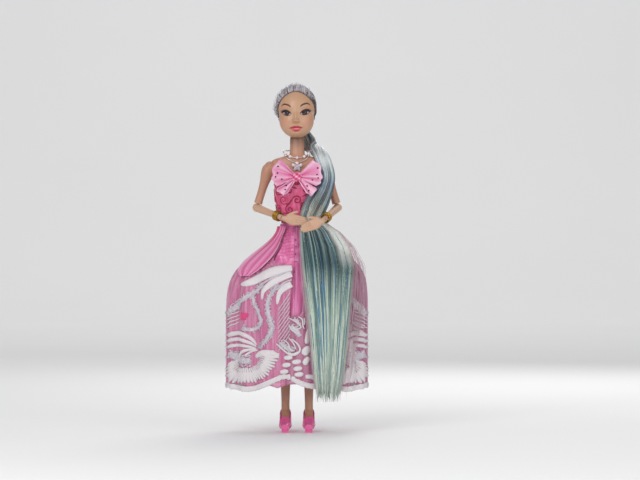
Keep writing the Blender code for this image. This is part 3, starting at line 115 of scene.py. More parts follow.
class Finish:
    """A material with one Principled shader, whose nodes are added by what is asked of it."""

    def __init__(self, name, rough, **fixed):
        self.material = bpy.data.materials.new(name)
        self.material.use_nodes = True
        self.tree = self.material.node_tree
        self.shader = self.tree.nodes["Principled BSDF"]
        self.shader.inputs["Roughness"].default_value = rough
        for socket, value in fixed.items():
            self.shader.inputs[socket.replace("_", " ")].default_value = value

    def add(self, kind, settings, sockets, out=0):
        node = self.tree.nodes.new(kind)
        for key, value in settings.items():
            if key == "stops":
                while len(node.color_ramp.elements) < len(value):
                    node.color_ramp.elements.new(0.5)
                for element, (place, colour) in zip(node.color_ramp.elements, value):
                    element.position = place
                    element.color = (*colour, 1.0)
            else:
                setattr(node, key, value)
        for key, value in sockets.items():
            if isinstance(value, Wire):
                self.tree.links.new(value.socket, node.inputs[key])
            elif value is not None:
                node.inputs[key].default_value = value
        return Wire(self, node.outputs[out])

    def place(self):
        return self.add("ShaderNodeTexCoord", {}, {}, "Object")

    def tint(self):
        """The colour that lies on the mesh's own points."""
        return self.add("ShaderNodeAttribute", {"attribute_name": "tint"}, {})

    def scaled(self, vector, scale):
        return self.add("ShaderNodeVectorMath", {"operation": "MULTIPLY"}, {0: vector, 1: scale})

    def split(self, vector):
        node = self.add("ShaderNodeSeparateXYZ", {}, {0: vector}).socket.node
        return [Wire(self, out) for out in node.outputs]

    def noise(self, vector, scale, detail=3.0):
        sockets = {"Vector": vector, "Scale": scale, "Detail": detail, "Roughness": 0.6}
        return self.add("ShaderNodeTexNoise", {}, sockets)

    def threads(self, vector, scales, detail):
        """Noise drawn out along the threads, with a scale for each direction."""
        return self.noise(self.scaled(vector, scales), 1.0, detail)

    def mix(self, share, first, second, blend="MIX"):
        settings = {"data_type": "RGBA", "blend_type": blend}
        return self.add("ShaderNodeMix", settings, {0: share, 6: rgba(first), 7: rgba(second)}, 2)

    def feed(self, **wires):
        for socket, wire in wires.items():
            self.tree.links.new(wire.socket, self.shader.inputs[socket.replace("_", " ")])
        return self

    def bump(self, height, strength, distance):
        sockets = {"Height": height, "Strength": strength, "Distance": distance}
        return self.feed(Normal=self.add("ShaderNodeBump", {}, sockets))


def rgba(colour):
    return colour if isinstance(colour, Wire) else (*colour, 1.0)


def linear(colour):
    """The linear value of a screen colour from about 11 to 255."""
    return ((colour / 255 + 0.055) / 1.055) ** 2.4


def shade(*colour):
    """A colour as a painter's chart gives it, 0 to 255, made linear."""
    return tuple(linear(c) if c > 10.3 else c / 255 / 12.92 for c in colour)


def quad_mesh(name, points, quads, tris=None):
    """A mesh from arrays, with its faces turned out."""
    tris = np.zeros((0, 3), int) if tris is None else np.asarray(tris)
    quads = np.asarray(quads).reshape(-1, 4)
    mesh = bpy.data.meshes.new(name)
    mesh.vertices.add(len(points))
    mesh.vertices.foreach_set("co", np.asarray(points, np.float32).ravel())
    corners = np.concatenate([quads.ravel(), tris.ravel()])
    mesh.loops.add(len(corners))
    mesh.loops.foreach_set("vertex_index", corners.astype(np.int32))
    starts = np.concatenate([np.arange(len(quads)) * 4, len(quads) * 4 + np.arange(len(tris)) * 3])
    mesh.polygons.add(len(starts))
    mesh.polygons.foreach_set("loop_start", starts.astype(np.int32))
    mesh.update(calc_edges=True)
    mesh.validate()
    shape = bmesh.new()
    shape.from_mesh(mesh)
    bmesh.ops.recalc_face_normals(shape, faces=shape.faces)
    shape.to_mesh(mesh)
    shape.free()
    mesh.shade_smooth()
    return mesh


def piece(name, shape, finish, body=None, replaces=(), tint=None, blend=None):
    """A piece in the scene, of a mesh or of points and faces, that rides a body, or with a blend stays fixed
    where it is made.
    """
    mesh = shape if isinstance(shape, bpy.types.Mesh) else quad_mesh(name, *shape)
    if tint is not None:
        layer = mesh.color_attributes.new("tint", "FLOAT_COLOR", "POINT")
        tint = np.hstack([tint, np.ones((len(tint), 1))])
        layer.data.foreach_set("color", tint.astype(np.float32).ravel())
    thing = bpy.data.objects.new(name, mesh)
    bpy.context.scene.collection.objects.link(thing)
    mesh.materials.append(finish.material)
    if blend is not None:
        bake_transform(thing)
    elif body is not None:
        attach(thing, body)
    if replaces:
        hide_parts(*replaces)
    return thing


def units(vectors):
    return vectors / np.maximum(np.linalg.norm(vectors, axis=-1, keepdims=True), 1e-12)


def peak(value, at, wide):
    """1 at a place, fading to 0 on both sides of it."""
    return np.exp(-((value - at) / wide) ** 2)


def grid_quads(rows, columns, start=0, wrap=False):
    row = np.arange(rows - 1)[:, None] * columns
    col = np.arange(columns if wrap else columns - 1)[None, :]
    after = (col + 1) % columns
    corners = np.stack([row + col, row + after, row + columns + after, row + columns + col], axis=-1)
    return corners.reshape(-1, 4) + start


def grid_normals(grid, wrap):
    down = np.gradient(grid, axis=0)
    if wrap:
        across = np.roll(grid, -1, axis=1) - np.roll(grid, 1, axis=1)
    else:
        across = np.gradient(grid, axis=1)
    return units(np.cross(across, down))


FORWARDS, BACKWARDS = np.array((0.0, -1.0, 0.0)), np.array((0.0, 1.0, 0.0))


def shell(grid, thick, outward, wrap=False):
    """Points and faces of a closed sheet whose outer side is the grid, and faces outward."""
    rows, columns = grid.shape[:2]
    normal = grid_normals(grid, wrap)
    if np.sum(normal * outward) < 0:
        normal = -normal
    thick = np.asarray(thick)
    thick = thick[..., None] if thick.ndim else thick
    points = np.concatenate([grid.reshape(-1, 3), (grid - normal * thick).reshape(-1, 3)])
    count = rows * columns
    quads = [grid_quads(rows, columns, 0, wrap), grid_quads(rows, columns, count, wrap)[:, ::-1]]
    for edge in (np.arange(columns), np.arange(columns) + (rows - 1) * columns):
        first, second = (edge, np.roll(edge, -1)) if wrap else (edge[:-1], edge[1:])
        quads.append(np.stack([first, second, second + count, first + count], axis=-1))
    if not wrap:
        for edge in (np.arange(rows) * columns, np.arange(rows) * columns + columns - 1):
            quads.append(np.stack([edge[:-1], edge[1:], edge[1:] + count, edge[:-1] + count], axis=-1))
    return points, np.concatenate(quads)


def closed_loft(grid):
    """Skin over rings of points, closed at both ends."""
    rows, sides = grid.shape[:2]
    points = np.concatenate([grid.reshape(-1, 3), grid[0].mean(axis=0)[None], grid[-1].mean(axis=0)[None]])
    edge = np.arange(sides)
    low = np.stack([edge, np.roll(edge, -1), np.full(sides, rows * sides)], axis=-1)
    high = np.stack([edge, np.roll(edge, -1), np.full(sides, rows * sides + 1)], axis=-1)
    high[:, :2] += (rows - 1) * sides
    return points, grid_quads(rows, sides, 0, True), np.concatenate([low, high])


def closed_ring(grid):
    """Skin over rings of points that close both ways."""
    rows, sides = grid.shape[:2]
    first = np.arange(sides)
    last = first + (rows - 1) * sides
    seam = np.stack([last, np.roll(last, -1), np.roll(first, -1), first], axis=-1)
    return grid.reshape(-1, 3), np.concatenate([grid_quads(rows, sides, 0, True), seam])


def full_turn(count):
    """Angles once round, for so many places."""
    return 2 * math.pi * np.arange(count) / count


def spokes(across, out, turn):
    """Directions round a circle between two directions."""
    return across * np.cos(turn)[:, None] + out * np.sin(turn)[:, None]


def tube_points(paths, radius, sides, flat=1.0, guide=(0.96, 0.2, 0.2)):
    """Points and faces of many closed tubes; paths is strands by points by 3, radius strands by points."""
    count, length = paths.shape[:2]
    along = units(np.gradient(paths, axis=1))
    side = units(np.cross(along, np.asarray(guide, float)))
    out = np.cross(side, along)
    turn = 2 * math.pi * (np.arange(sides) + 0.5) / sides
    ring = (side[:, :, None] * np.cos(turn)[None, None, :, None] * flat
            + out[:, :, None] * np.sin(turn)[None, None, :, None])
    radius = np.broadcast_to(np.asarray(radius, float), (count, length))
    points = paths[:, :, None] + ring * radius[:, :, None, None]
    each = grid_quads(length, sides, 0, True)
    starts = np.arange(count) * length * sides
    quads = [(each[None] + starts[:, None, None]).reshape(-1, 4)]
    caps = None
    for end in (0, (length - 1) * sides):
        if sides == 4:
            quads.append(np.array([[0, 1, 2, 3]]) + (starts + end)[:, None])
        else:
            fan = np.array([[0, i, i + 1] for i in range(1, sides - 1)])
            cap = (fan[None] + (starts + end)[:, None, None]).reshape(-1, 3)
            caps = cap if caps is None else np.concatenate([caps, cap])
    return points.reshape(-1, 3), np.concatenate(quads), caps


def gathered(parts):
    """Join the points and faces of several shapes into one."""
    points, quads, tris, start = [], [], [], 0
    for part in parts:
        points.append(part[0])
        quads.append(np.asarray(part[1]).reshape(-1, 4) + start)
        if len(part) > 2 and part[2] is not None:
            tris.append(np.asarray(part[2]) + start)
        start += len(part[0])
    return np.concatenate(points), np.concatenate(quads), np.concatenate(tris) if tris else None


def eased(rows, steps):
    """Catmull-Rom rows between the rows of a table."""
    rows = np.asarray(rows, float)
    last = len(rows) - 1
    out = []
    for place in np.linspace(0, last, last * steps + 1):
        i = min(int(place), last - 1)
        t = place - i
        a, b, c, d = (rows[min(max(j, 0), last)] for j in (i - 1, i, i + 1, i + 2))
        out.append(0.5 * (2 * b + (c - a) * t + (2 * a - 5 * b + 4 * c - d) * t ** 2
                          + (3 * b - a - 3 * c + d) * t ** 3))
    return np.array(out)


def looked_up(table, at):
    """The columns of a table after its first, at values of its first."""
    rows = np.asarray(table, float)
    return [np.interp(at, rows[:, 0], rows[:, col]) for col in range(1, rows.shape[1])]


# Forms of the body, the head and the gown, made with the solids' own formulas

HIP_ROWS = ((-0.50, 0.34, 0.62, 0.44), (-0.36, 0.66, 0.86, 0.74), (0.0, 1.0, 1.0, 1.0),
            (0.36, 0.83, 1.02, 0.90), (0.68, 0.70, 1.02, 0.74))
CHEST_ROWS = ((0.20, 0.87, 0.60, 0.87), (0.37, 0.955, 0.73, 0.93), (0.61, 1.0, 1.0, 0.98),
              (0.75, 1.01, 0.92, 1.0), (0.87, 1.05, 0.70, 0.96))
SHOULDER_ROWS = ((0.0, 0.874, 1.0, 0.95), (0.18, 0.965, 0.90, 0.88), (0.28, 0.94, 0.82, 0.85),
                 (0.345, 0.81, 0.80, 0.84), (0.40, 0.60, 0.76, 0.84))
NECK_ROWS = ((0.48, 1.06, 0.35), (0.62, 1.0, 0.6), (0.80, 0.98, 0.85), (0.995, 0.97, 1.0))
BUST_HALF, BUST_DEEP = 0.0172, 0.0146
NECK_HALF, NECK_LEAN = 0.006, 0.0022
# Each part's rows, where it starts, its height, and its half width, depth in front and depth behind
BODY_PARTS = ((HIP_ROWS, HIP, PELVIS_HIGH, 0.0178, 0.0074, 0.0108),
              (((0.0, 1.0, 1.0, 1.0),), WAIST, 0.0, 0.0114, 0.0076, 0.0070),
              (CHEST_ROWS, WAIST, CHEST_HIGH, BUST_HALF, BUST_DEEP, 0.0089),
              (SHOULDER_ROWS, SHOULDER, NECK_HIGH, 0.0222, 0.0082, 0.0089))


def body_rows():
    """Height, half width, depth in front and depth behind, up the body."""
    rows = [(start + up * high, wide * half, front * before, back * behind)
            for table, start, high, half, before, behind in BODY_PARTS for up, wide, front, back in table]
    return rows + [(SHOULDER + up * NECK_HIGH, wide * NECK_HALF, wide * NECK_HALF - lean * NECK_LEAN,
                    wide * NECK_HALF + lean * NECK_LEAN) for up, wide, lean in NECK_ROWS]


BODY = eased(body_rows(), 8)


def body_place(angle, z, grow):
    """Places on the body's skin or off it; the angle runs from the front towards +X."""
    angle, z = np.broadcast_arrays(np.asarray(angle, float), np.asarray(z, float))
    half, front, back = looked_up(BODY, z)
    side, ahead = np.sin(angle), np.cos(angle)
    x = (half + grow) * side
    bust = WAIST + CHEST_ROWS[2][0] * CHEST_HIGH
    cleft = np.exp(-((z - bust) / BUST_DEEP * 1.8) ** 2) * np.exp(-(x / BUST_HALF * 3.6) ** 2)
    deep = np.where(ahead > 0, front, back) + grow - 0.0022 * cleft * np.maximum(ahead, 0.0)
    return np.stack([x, -ahead * deep, z], axis=-1)


def skirt_sizes(z, side):
    """Half width and half depth of the skirt's swell; side is 0 in front and 1 at the doll's left."""
    depth = np.maximum(SKIRT_TOP - z, 0.0)
    share = 1 - np.exp(-(depth / (SKIRT_SWELL * (1 - 0.08 * side))) ** SWELL_POWER)
    return WAIST_HALF + (SKIRT_HALF - WAIST_HALF) * share, WAIST_DEEP + (SKIRT_DEEP - WAIST_DEEP) * share


def skirt_place(angle, z, grow, layer=1.0, folds=1.0, pleats=0.0):
    """Places on a layer of the skirt; the angle runs from the front towards +X."""
    angle, z = np.broadcast_arrays(np.asarray(angle, float), np.asarray(z, float))
    side, ahead = np.sin(angle), np.cos(angle)
    half, deep = skirt_sizes(z, side)
    down = (SKIRT_TOP - z) / DROP
    half = WAIST_HALF + (half - WAIST_HALF) * layer + grow
    deep = WAIST_DEEP + (deep * np.where(ahead > 0, 1.0, SKIRT_BACK) - WAIST_DEEP) * layer + grow
    fold = folds * FOLD_DEEP * np.clip(down * 2.2, 0.0, 1.0) * np.cos(FOLDS * angle + 1.3 * side)
    gather = peak(down, 0.16, 0.17) + 0.35 * np.clip(down, 0, 1)
    fold = fold + pleats * gather * (np.cos(57 * angle + 2 * side) + 0.5 * np.cos(91 * angle))
    power = 2 / ROUNDNESS
    x = np.copysign(np.abs(side) ** power, side) * (half + fold)
    y = -np.copysign(np.abs(ahead) ** power, ahead) * (deep + fold)
    return np.stack([x, y, z], axis=-1)


def skirt_angle(x, z):
    """The angle of the place on the skirt's front that shows at x, z."""
    x = np.asarray(x, float)
    half, _ = skirt_sizes(z, np.clip(x / SKIRT_HALF, -1, 1))
    side = np.clip(np.abs(x) / half, 0, 0.9995) ** (ROUNDNESS / 2)
    return np.copysign(np.arcsin(side), x)


def front_deep(x, z, grow):
    """How far forward the skirt is at x, z."""
    half, deep = skirt_sizes(z, np.clip(x / SKIRT_HALF, -1, 1))
    share = np.clip(np.abs(x) / (half + grow), 0, 1)
    return (deep + grow) * (1 - share ** ROUNDNESS) ** (1 / ROUNDNESS)


EYE_HIGH, NOSE_HIGH, MOUTH_HIGH = 0.485 * HEAD_HIGH, 0.325 * HEAD_HIGH, 0.188 * HEAD_HIGH
EYE_OUT = 0.0074
SPAN = EYE_HIGH - NOSE_HIGH
NOSE_OUT, FACE_DEEP = 0.0030, 0.0118
HEAD_BACK, PIVOT_HIGH, SKULL = 0.0022, 0.0100, 0.0176
# How sharply the skull, the face and the nape join
JOIN = 22


def egg(direction, offset, halves):
    """How far an egg's skin is in a direction from a place inside it."""
    scaled = direction / np.array(halves)
    shift = -np.array(offset) / np.array(halves)
    a = np.sum(scaled * scaled, axis=-1)
    b = 2 * scaled @ shift
    inside = np.maximum(b * b - 4 * a * (shift @ shift - 1), 0)
    return np.where(inside > 0, (-b + np.sqrt(inside)) / (2 * a), 0.0)


def swell(x, z, at_x, at_z, wide, high):
    """1 at a place, fading to 0 round it."""
    return np.exp(-((x - at_x) / wide) ** 2 - ((z - at_z) / high) ** 2)


def face_relief(x, z):
    """How far the features stand out of the plain face: the solid's own, and the finer ones."""
    s, ax = SPAN, np.abs(x)
    out = NOSE_OUT * swell(x, z, 0, NOSE_HIGH, s * 0.30, s * 0.27)
    out += NOSE_OUT * 0.34 * swell(ax, z, s * 0.30, NOSE_HIGH - s * 0.04, s * 0.17, s * 0.18)
    out += NOSE_OUT * 0.55 * swell(x, z, 0, NOSE_HIGH + s * 0.55, s * 0.24, s * 0.52)
    out += 0.0010 * swell(ax, z, s * 0.16, MOUTH_HIGH + s * 0.13, s * 0.36, s * 0.10)
    out += 0.00115 * swell(x, z, 0, MOUTH_HIGH - s * 0.16, s * 0.42, s * 0.15)
    out += 0.0010 * swell(x, z, 0, HEAD_HIGH * 0.062, s * 0.62, s * 0.42)
    out += 0.0006 * swell(ax, z, EYE_OUT * 1.12, NOSE_HIGH, s * 0.62, s * 0.62)
    out -= 0.0011 * swell(ax, z, EYE_OUT * 0.93, EYE_HIGH - s * 0.04, s * 0.62, s * 0.42)
    out += 0.00083 * swell(ax, z, EYE_OUT, EYE_HIGH - s * 0.14, s * 0.50, s * 0.30)
    out -= 0.00035 * swell(x, z, 0, MOUTH_HIGH + s * 0.035, s * 0.62, s * 0.035)
    out -= 0.00030 * swell(x, z, 0, MOUTH_HIGH + s * 0.42, s * 0.07, s * 0.16)
    out -= 0.00045 * swell(ax, z, s * 0.20, NOSE_HIGH - s * 0.24, s * 0.10, s * 0.06)
    out -= 0.00040 * swell(x, z, 0, MOUTH_HIGH - s * 0.46, s * 0.40, s * 0.10)
    out += 0.00030 * swell(ax, z, s * 0.13, MOUTH_HIGH + s * 0.24, s * 0.09, s * 0.07)
    out -= 0.00022 * swell(ax, z, EYE_OUT, EYE_HIGH + s * 0.44, s * 0.48, s * 0.05)
    return out


def relief_at(place):
    """The features' relief at places on the head, fading out away from its front."""
    return face_relief(place[..., 0], place[..., 2]) * np.clip(-place[..., 1] / FACE_DEEP, 0, 1) ** 2


def way_at(around, rise):
    """Directions from angles round from the face and up from level."""
    return np.stack([np.cos(rise) * np.sin(around), -np.cos(rise) * np.cos(around), np.sin(rise)], axis=-1)


def head_place(around, rise, grow=0.0):
    """Places on the head in its own upright frame, with the chin below the pivot at its origin."""
    around, rise = np.broadcast_arrays(np.asarray(around, float), np.asarray(rise, float))
    way = way_at(around, rise)
    low = HEAD_HIGH * 0.355
    skull = egg(way, (0.0, HEAD_BACK, HEAD_HIGH - SKULL - EYE_HIGH), (0.0152, SKULL, SKULL))
    face = egg(way, (0.0, -FACE_DEEP * 0.36, low - EYE_HIGH), (0.0142, FACE_DEEP, low))
    nape = egg(way, (0.0, HEAD_BACK * 1.6, PIVOT_HIGH * 1.12 - EYE_HIGH), (0.0092, 0.0092, PIVOT_HIGH))
    reach = (skull ** JOIN + face ** JOIN + nape ** JOIN) ** (1 / JOIN)
    place = np.array((0.0, 0.0, EYE_HIGH)) + way * (reach + grow)[..., None]
    place[..., 1] -= relief_at(place)
    return place


PIVOT = np.array((0.0, HEAD_BACK, CHIN + PIVOT_HIGH))
TURN, TILT = math.radians(-2.5), math.radians(-2.0)
CARRY = np.array(Matrix.Rotation(TURN, 3, "Z") @ Matrix.Rotation(TILT, 3, "Y"))


def carried(place):
    """From the head's own frame to its tilted place on the neck."""
    return PIVOT + (place - np.array((0.0, HEAD_BACK, PIVOT_HIGH))) @ CARRY.T


def face_at(x, z, lift):
    """Places on the front of the face at x, z in the head's own frame, lifted off the skin."""
    x, z = np.broadcast_arrays(np.asarray(x, float), np.asarray(z, float))
    reach = np.full(x.shape, 0.0125)
    for _ in range(14):
        rise = np.arcsin(np.clip((z - EYE_HIGH) / reach, -1, 1))
        around = np.arcsin(np.clip(x / (reach * np.cos(rise)), -1, 1))
        place = head_place(around, rise)
        plain = place.copy()
        plain[..., 1] += relief_at(place)
        reach = np.linalg.norm(plain - np.array((0.0, 0.0, EYE_HIGH)), axis=-1)
    place[..., 1] -= lift
    return carried(place)


# Finishes

VINYL_ROUGH, JAW_HIGH, JAW_PAINTED_SHADOW = 0.42, 0.2345, shade(110, 76, 56)


def vinyl(name, base, warm):
    """Moulded vinyl: even colour, a little warmer in places, and a painted shadow darkening the neck under
    the jaw.
    """
    finish = Finish(name, VINYL_ROUGH, Coat_Weight=0.12, Coat_Roughness=0.35)
    place = finish.place()
    cloud = finish.noise(place, 90.0)
    colour = finish.mix(cloud.above(0.5, 0.25) * 0.35, base, warm)
    colour = finish.mix(finish.split(place)[2].above(JAW_HIGH, 0.007) * 0.95, colour, JAW_PAINTED_SHADOW)
    finish.feed(Base_Color=colour, Roughness=cloud * 0.12 + (VINYL_ROUGH - 0.06))
    return finish.bump(finish.noise(place, 2600.0, 2.0), 0.12, 0.0001)


# Place across and up the face, half width and half height, strength, and colour: cheeks blushed, over the
# eyes, painted shade beside the nose, at the nostrils and at the edges of the face
FACE_PATCHES = (((0.0094, 0.0125, 0.0040, 0.0038), 0.24, (224, 128, 118)),
                ((0.0076, 0.0236, 0.0046, 0.0018), 0.40, (176, 128, 104)),
                ((0.0036, 0.0200, 0.0014, 0.0040), 0.20, (184, 132, 106)),
                ((0.0016, 0.0118, 0.0012, 0.0007), 0.30, (172, 112, 90)),
                ((0.0130, 0.0150, 0.0022, 0.0100), 0.40, (176, 120, 92)))


def face_vinyl():
    """The face's vinyl, with soft painted shadows and blushed cheeks."""
    finish = Finish("face vinyl", 0.4, Coat_Weight=0.12, Coat_Roughness=0.3)
    turned = finish.place()
    for kind, back in (("Z_AXIS", -TURN), ("Y_AXIS", -TILT)):
        turned = finish.add("ShaderNodeVectorRotate", {"rotation_type": kind},
                            {"Vector": turned, "Center": tuple(PIVOT), "Angle": back})
    x, y, z = finish.split(turned)
    local_z = z - CHIN
    ax = finish.add("ShaderNodeMath", {"operation": "ABSOLUTE"}, {0: x})

    def patch(at_x, at_z, wide, high):
        far = ((ax - at_x) * (1 / wide)) ** 2.0 + ((local_z - at_z) * (1 / high)) ** 2.0
        return finish.add("ShaderNodeMath", {"operation": "EXPONENT"}, {0: far * -1.0})

    front = (y * -1.0).above(0.004, 0.003)
    skin = finish.mix(finish.noise(finish.place(), 90.0).above(0.5, 0.3) * 0.3, SKIN, SKIN_WARM)
    for spot, share, colour in FACE_PATCHES:
        skin = finish.mix(patch(*spot) * share * front, skin, shade(*colour))
    finish.feed(Base_Color=skin)
    return finish.bump(finish.noise(finish.place(), 2600.0, 2.0), 0.08, 0.0001)


def paint(name, colour, rough, **fixed):
    """Printed face paint, a little uneven."""
    finish = Finish(name, rough, **fixed)
    cloud = finish.noise(finish.place(), 900.0)
    darker = tuple(c * 0.8 for c in colour)
    return finish.feed(Base_Color=finish.mix(cloud.above(0.5, 0.2) * 0.5, colour, darker))


def fibre(name, rough=0.34, shine=0.0):
    """Hair fibre, whose colour lies on each strand, with fine light and dark runs."""
    finish = Finish(name, rough, Metallic=shine, Coat_Weight=0.25, Coat_Roughness=0.25)
    tint = finish.tint()
    runs = finish.threads(finish.place(), (4200.0, 4200.0, 160.0), 2.0)
    dark = finish.mix(1.0, tint, (0.35, 0.38, 0.42), "MULTIPLY")
    colour = finish.mix(runs.above(0.52, 0.2) * 0.55, tint, dark)
    finish.feed(Base_Color=colour, Roughness=runs * 0.25 + (rough - 0.1))
    return finish


def net(name, colour, light, cover):
    """Fine net tulle: threads in two directions over a see-through ground, with long painted highlights
    running down it.
    """
    finish = Finish(name, 0.55, Sheen_Weight=0.3)
    place = finish.place()
    cloud = finish.noise(place, 60.0)
    threads = finish.threads(place, (2600.0, 2600.0, 2600.0), 1.0)
    runs = finish.threads(place, (520.0, 520.0, 30.0), 2.0)
    colour = finish.mix(runs.above(0.52, 0.15) * 0.6, colour, light)
    alpha = threads.above(0.46, 0.08) * 0.22 + runs * 0.18 + cloud * 0.10 + (cover - 0.25)
    return finish.feed(Base_Color=colour, Alpha=alpha).bump(threads, 0.35, 0.0002)


def satin(name, colour, light, dark, rough=0.3):
    """Woven satin, with long soft painted highlights and painted shade, and fine threads."""
    finish = Finish(name, rough, Sheen_Weight=0.4, Sheen_Roughness=0.4)
    place = finish.place()
    runs = finish.threads(place, (260.0, 260.0, 40.0), 2.0)
    threads = finish.threads(place, (900.0, 900.0, 5200.0), 1.0)
    colour = finish.mix(runs.above(0.5, 0.18), dark, colour)
    colour = finish.mix(runs.above(0.62, 0.1) * 0.6, colour, light)
    finish.feed(Base_Color=colour, Roughness=threads * 0.2 + (rough - 0.1))
    return finish.bump(threads, 0.25, 0.00015)


def tinted(name, rough, cover, mesh, sheen):
    """Thin woven stuff whose folds carry their colours with painted light and shade, with a fine open mesh.
    """
    finish = Finish(name, rough, Sheen_Weight=sheen, Sheen_Roughness=0.4)
    tint = finish.tint()
    threads = finish.threads(finish.place(), (2300.0, 2300.0, 2300.0), 1.0)
    dark = finish.mix(1.0, tint, (0.62, 0.50, 0.56), "MULTIPLY")
    finish.feed(Base_Color=finish.mix(threads.above(0.52, 0.12) * mesh, tint, dark))
    if cover < 1.0:
        finish.feed(Alpha=threads.above(0.44, 0.1) * 0.3 + (cover - 0.2))
    return finish.bump(threads, 0.25, 0.00015)


def stitched(name, colour, light, rough, metallic=0.0):
    """Satin stitch: close threads, with a painted silky glint."""
    finish = Finish(name, rough, Sheen_Weight=0.3, Metallic=metallic)
    place = finish.place()
    threads = finish.threads(place, (3200.0, 3200.0, 1500.0), 2.0)
    colour = finish.mix(threads.above(0.5, 0.15) * 0.7, colour, light)
    finish.feed(Base_Color=colour, Roughness=threads * 0.3 + (rough - 0.15))
    return finish.bump(threads, 0.5, 0.0002)


def metal(name, colour, dark, rough):
    finish = Finish(name, rough, Metallic=1.0)
    cloud = finish.noise(finish.place(), 700.0)
    finish.feed(Base_Color=finish.mix(cloud.above(0.55, 0.2) * 0.6, colour, dark),
                Roughness=cloud * 0.25 + (rough - 0.1))
    return finish


def pearl(name, colour, glow):
    finish = Finish(name, 0.16, Coat_Weight=0.6, Coat_Roughness=0.08)
    # Lighter towards the rim as the view grazes it: a painted sheen
    facing = finish.add("ShaderNodeLayerWeight", {}, {"Blend": 0.4}, "Facing")
    return finish.feed(Base_Color=finish.mix(facing, colour, glow))


SKIN, SKIN_WARM = shade(190, 150, 119), shade(185, 137, 110)
skin_finish = vinyl("body vinyl", shade(184, 136, 111), shade(174, 122, 98))
hand_finish = vinyl("hand vinyl", shade(196, 158, 131), shade(190, 144, 118))
face_finish = face_vinyl()
eye_white = paint("eye white", shade(184, 158, 152), 0.4, Coat_Weight=0.1)
iris_brown = paint("iris brown", shade(54, 26, 30), 0.2, Coat_Weight=0.5)
pupil_black = paint("pupil black", shade(18, 8, 14), 0.2, Coat_Weight=0.5)
eye_painted_highlight = paint("eye painted highlight", shade(150, 128, 140), 0.3)
lash_black = paint("lash black", shade(30, 18, 18), 0.5)
lid_brown = paint("lid brown", shade(112, 84, 72), 0.5)
smoke_brown = paint("smoke brown", shade(182, 144, 118), 0.5)
brow_brown = paint("brow brown", shade(98, 54, 34), 0.5)
lip_upper = paint("lip upper", shade(182, 62, 70), 0.3, Coat_Weight=0.3)
lip_lower = paint("lip lower", shade(208, 90, 96), 0.25, Coat_Weight=0.4)
lip_line = paint("lip line", shade(142, 44, 52), 0.4)
lip_painted_highlight = paint("lip painted highlight", shade(236, 136, 152), 0.2, Coat_Weight=0.6)
hair_finish = fibre("hair fibre")
tinsel_finish = fibre("hair tinsel", 0.22, 0.75)


# Head and painted face

def build_head():
    """The head with its fine features, hollowed for the neck and its ball."""
    rise = np.concatenate([np.linspace(-1.50, -0.95, 14), np.linspace(-0.93, 0.45, 120),
                           np.linspace(0.47, 1.52, 40)])
    turn = np.linspace(-math.pi, math.pi, 241)[:-1]
    turn = turn - 0.62 * np.sin(turn)
    grid = carried(head_place(turn[None, :], rise[:, None]))
    head = piece("doll_head", closed_loft(grid), face_finish, "head", ("head",))
    turned = Matrix.Translation(PIVOT - np.array((0, 0, 0.0070))) @ Matrix.Diagonal((0.87, 1.28, 1.0, 1.0))
    sizes = {"cap_ends": True, "segments": 48, "radius1": 0.0085, "radius2": 0.0036, "depth": 0.014}
    cut_out(head, plain_solid(bmesh.ops.create_cone, turned, **sizes))
    sizes = {"u_segments": 32, "v_segments": 20, "radius": 0.0043}
    cut_out(head, plain_solid(bmesh.ops.create_uvsphere, Matrix.Translation(PIVOT), **sizes))


def plain_solid(make, turned, **sizes):
    """A mesh of one of Blender's plain solids, moved to its place."""
    mesh, shape = bpy.data.meshes.new("plain solid"), bmesh.new()
    make(shape, **sizes)
    bmesh.ops.transform(shape, verts=shape.verts, matrix=turned)
    if turned.is_negative:
        bmesh.ops.reverse_faces(shape, faces=shape.faces)
    shape.to_mesh(mesh)
    shape.free()
    return mesh


def cut_out(thing, mesh):
    """Cut a mesh out of a piece, for good."""
    tool = bpy.data.objects.new("room", mesh)
    bpy.context.scene.collection.objects.link(tool)
    step = thing.modifiers.new("room", "BOOLEAN")
    step.operation, step.object, step.solver = "DIFFERENCE", tool, "EXACT"
    settle(thing)
    bpy.data.objects.remove(tool)


def settle(thing):
    """Keep what a piece's modifiers make of it."""
    view = bpy.context.evaluated_depsgraph_get()
    made = bpy.data.meshes.new_from_object(thing.evaluated_get(view))
    thing.modifiers.clear()
    thing.data = made


def print_on(name, x, low, high, finish, lift, rows=5):
    """A patch of face paint between two curves, printed a hair's breadth proud of the skin."""
    x, low, high = (np.asarray(one, float) for one in (x, low, high))
    share = np.linspace(0, 1, rows)[:, None]
    across = np.broadcast_to(x[None, :], (rows, len(x)))
    up = low[None, :] * (1 - share) + high[None, :] * share
    piece(name, shell(face_at(across, up, lift), 0.00006, FORWARDS), finish, "head", ())


INK = 0.00005
LASHES = INK * 4.4
EYE_HALF, EYE_TILT, EYE_LOW = 0.0036, 0.00062, 0.0018
IRIS, PUPIL = 0.00215, 0.00135
# How far out from the face's middle and above the eye the brow runs
BROW_ROWS = ((0.0040, 0.0053), (0.0062, 0.0068), (0.0090, 0.0076), (0.0106, 0.0072), (0.0118, 0.0060))


def hill(place, inner, outer):
    """1 in the middle of an eye, 0 at an inner and an outer corner."""
    return np.clip(1 - (place / np.where(place < 0, inner, outer)) ** 2, 0, 1)


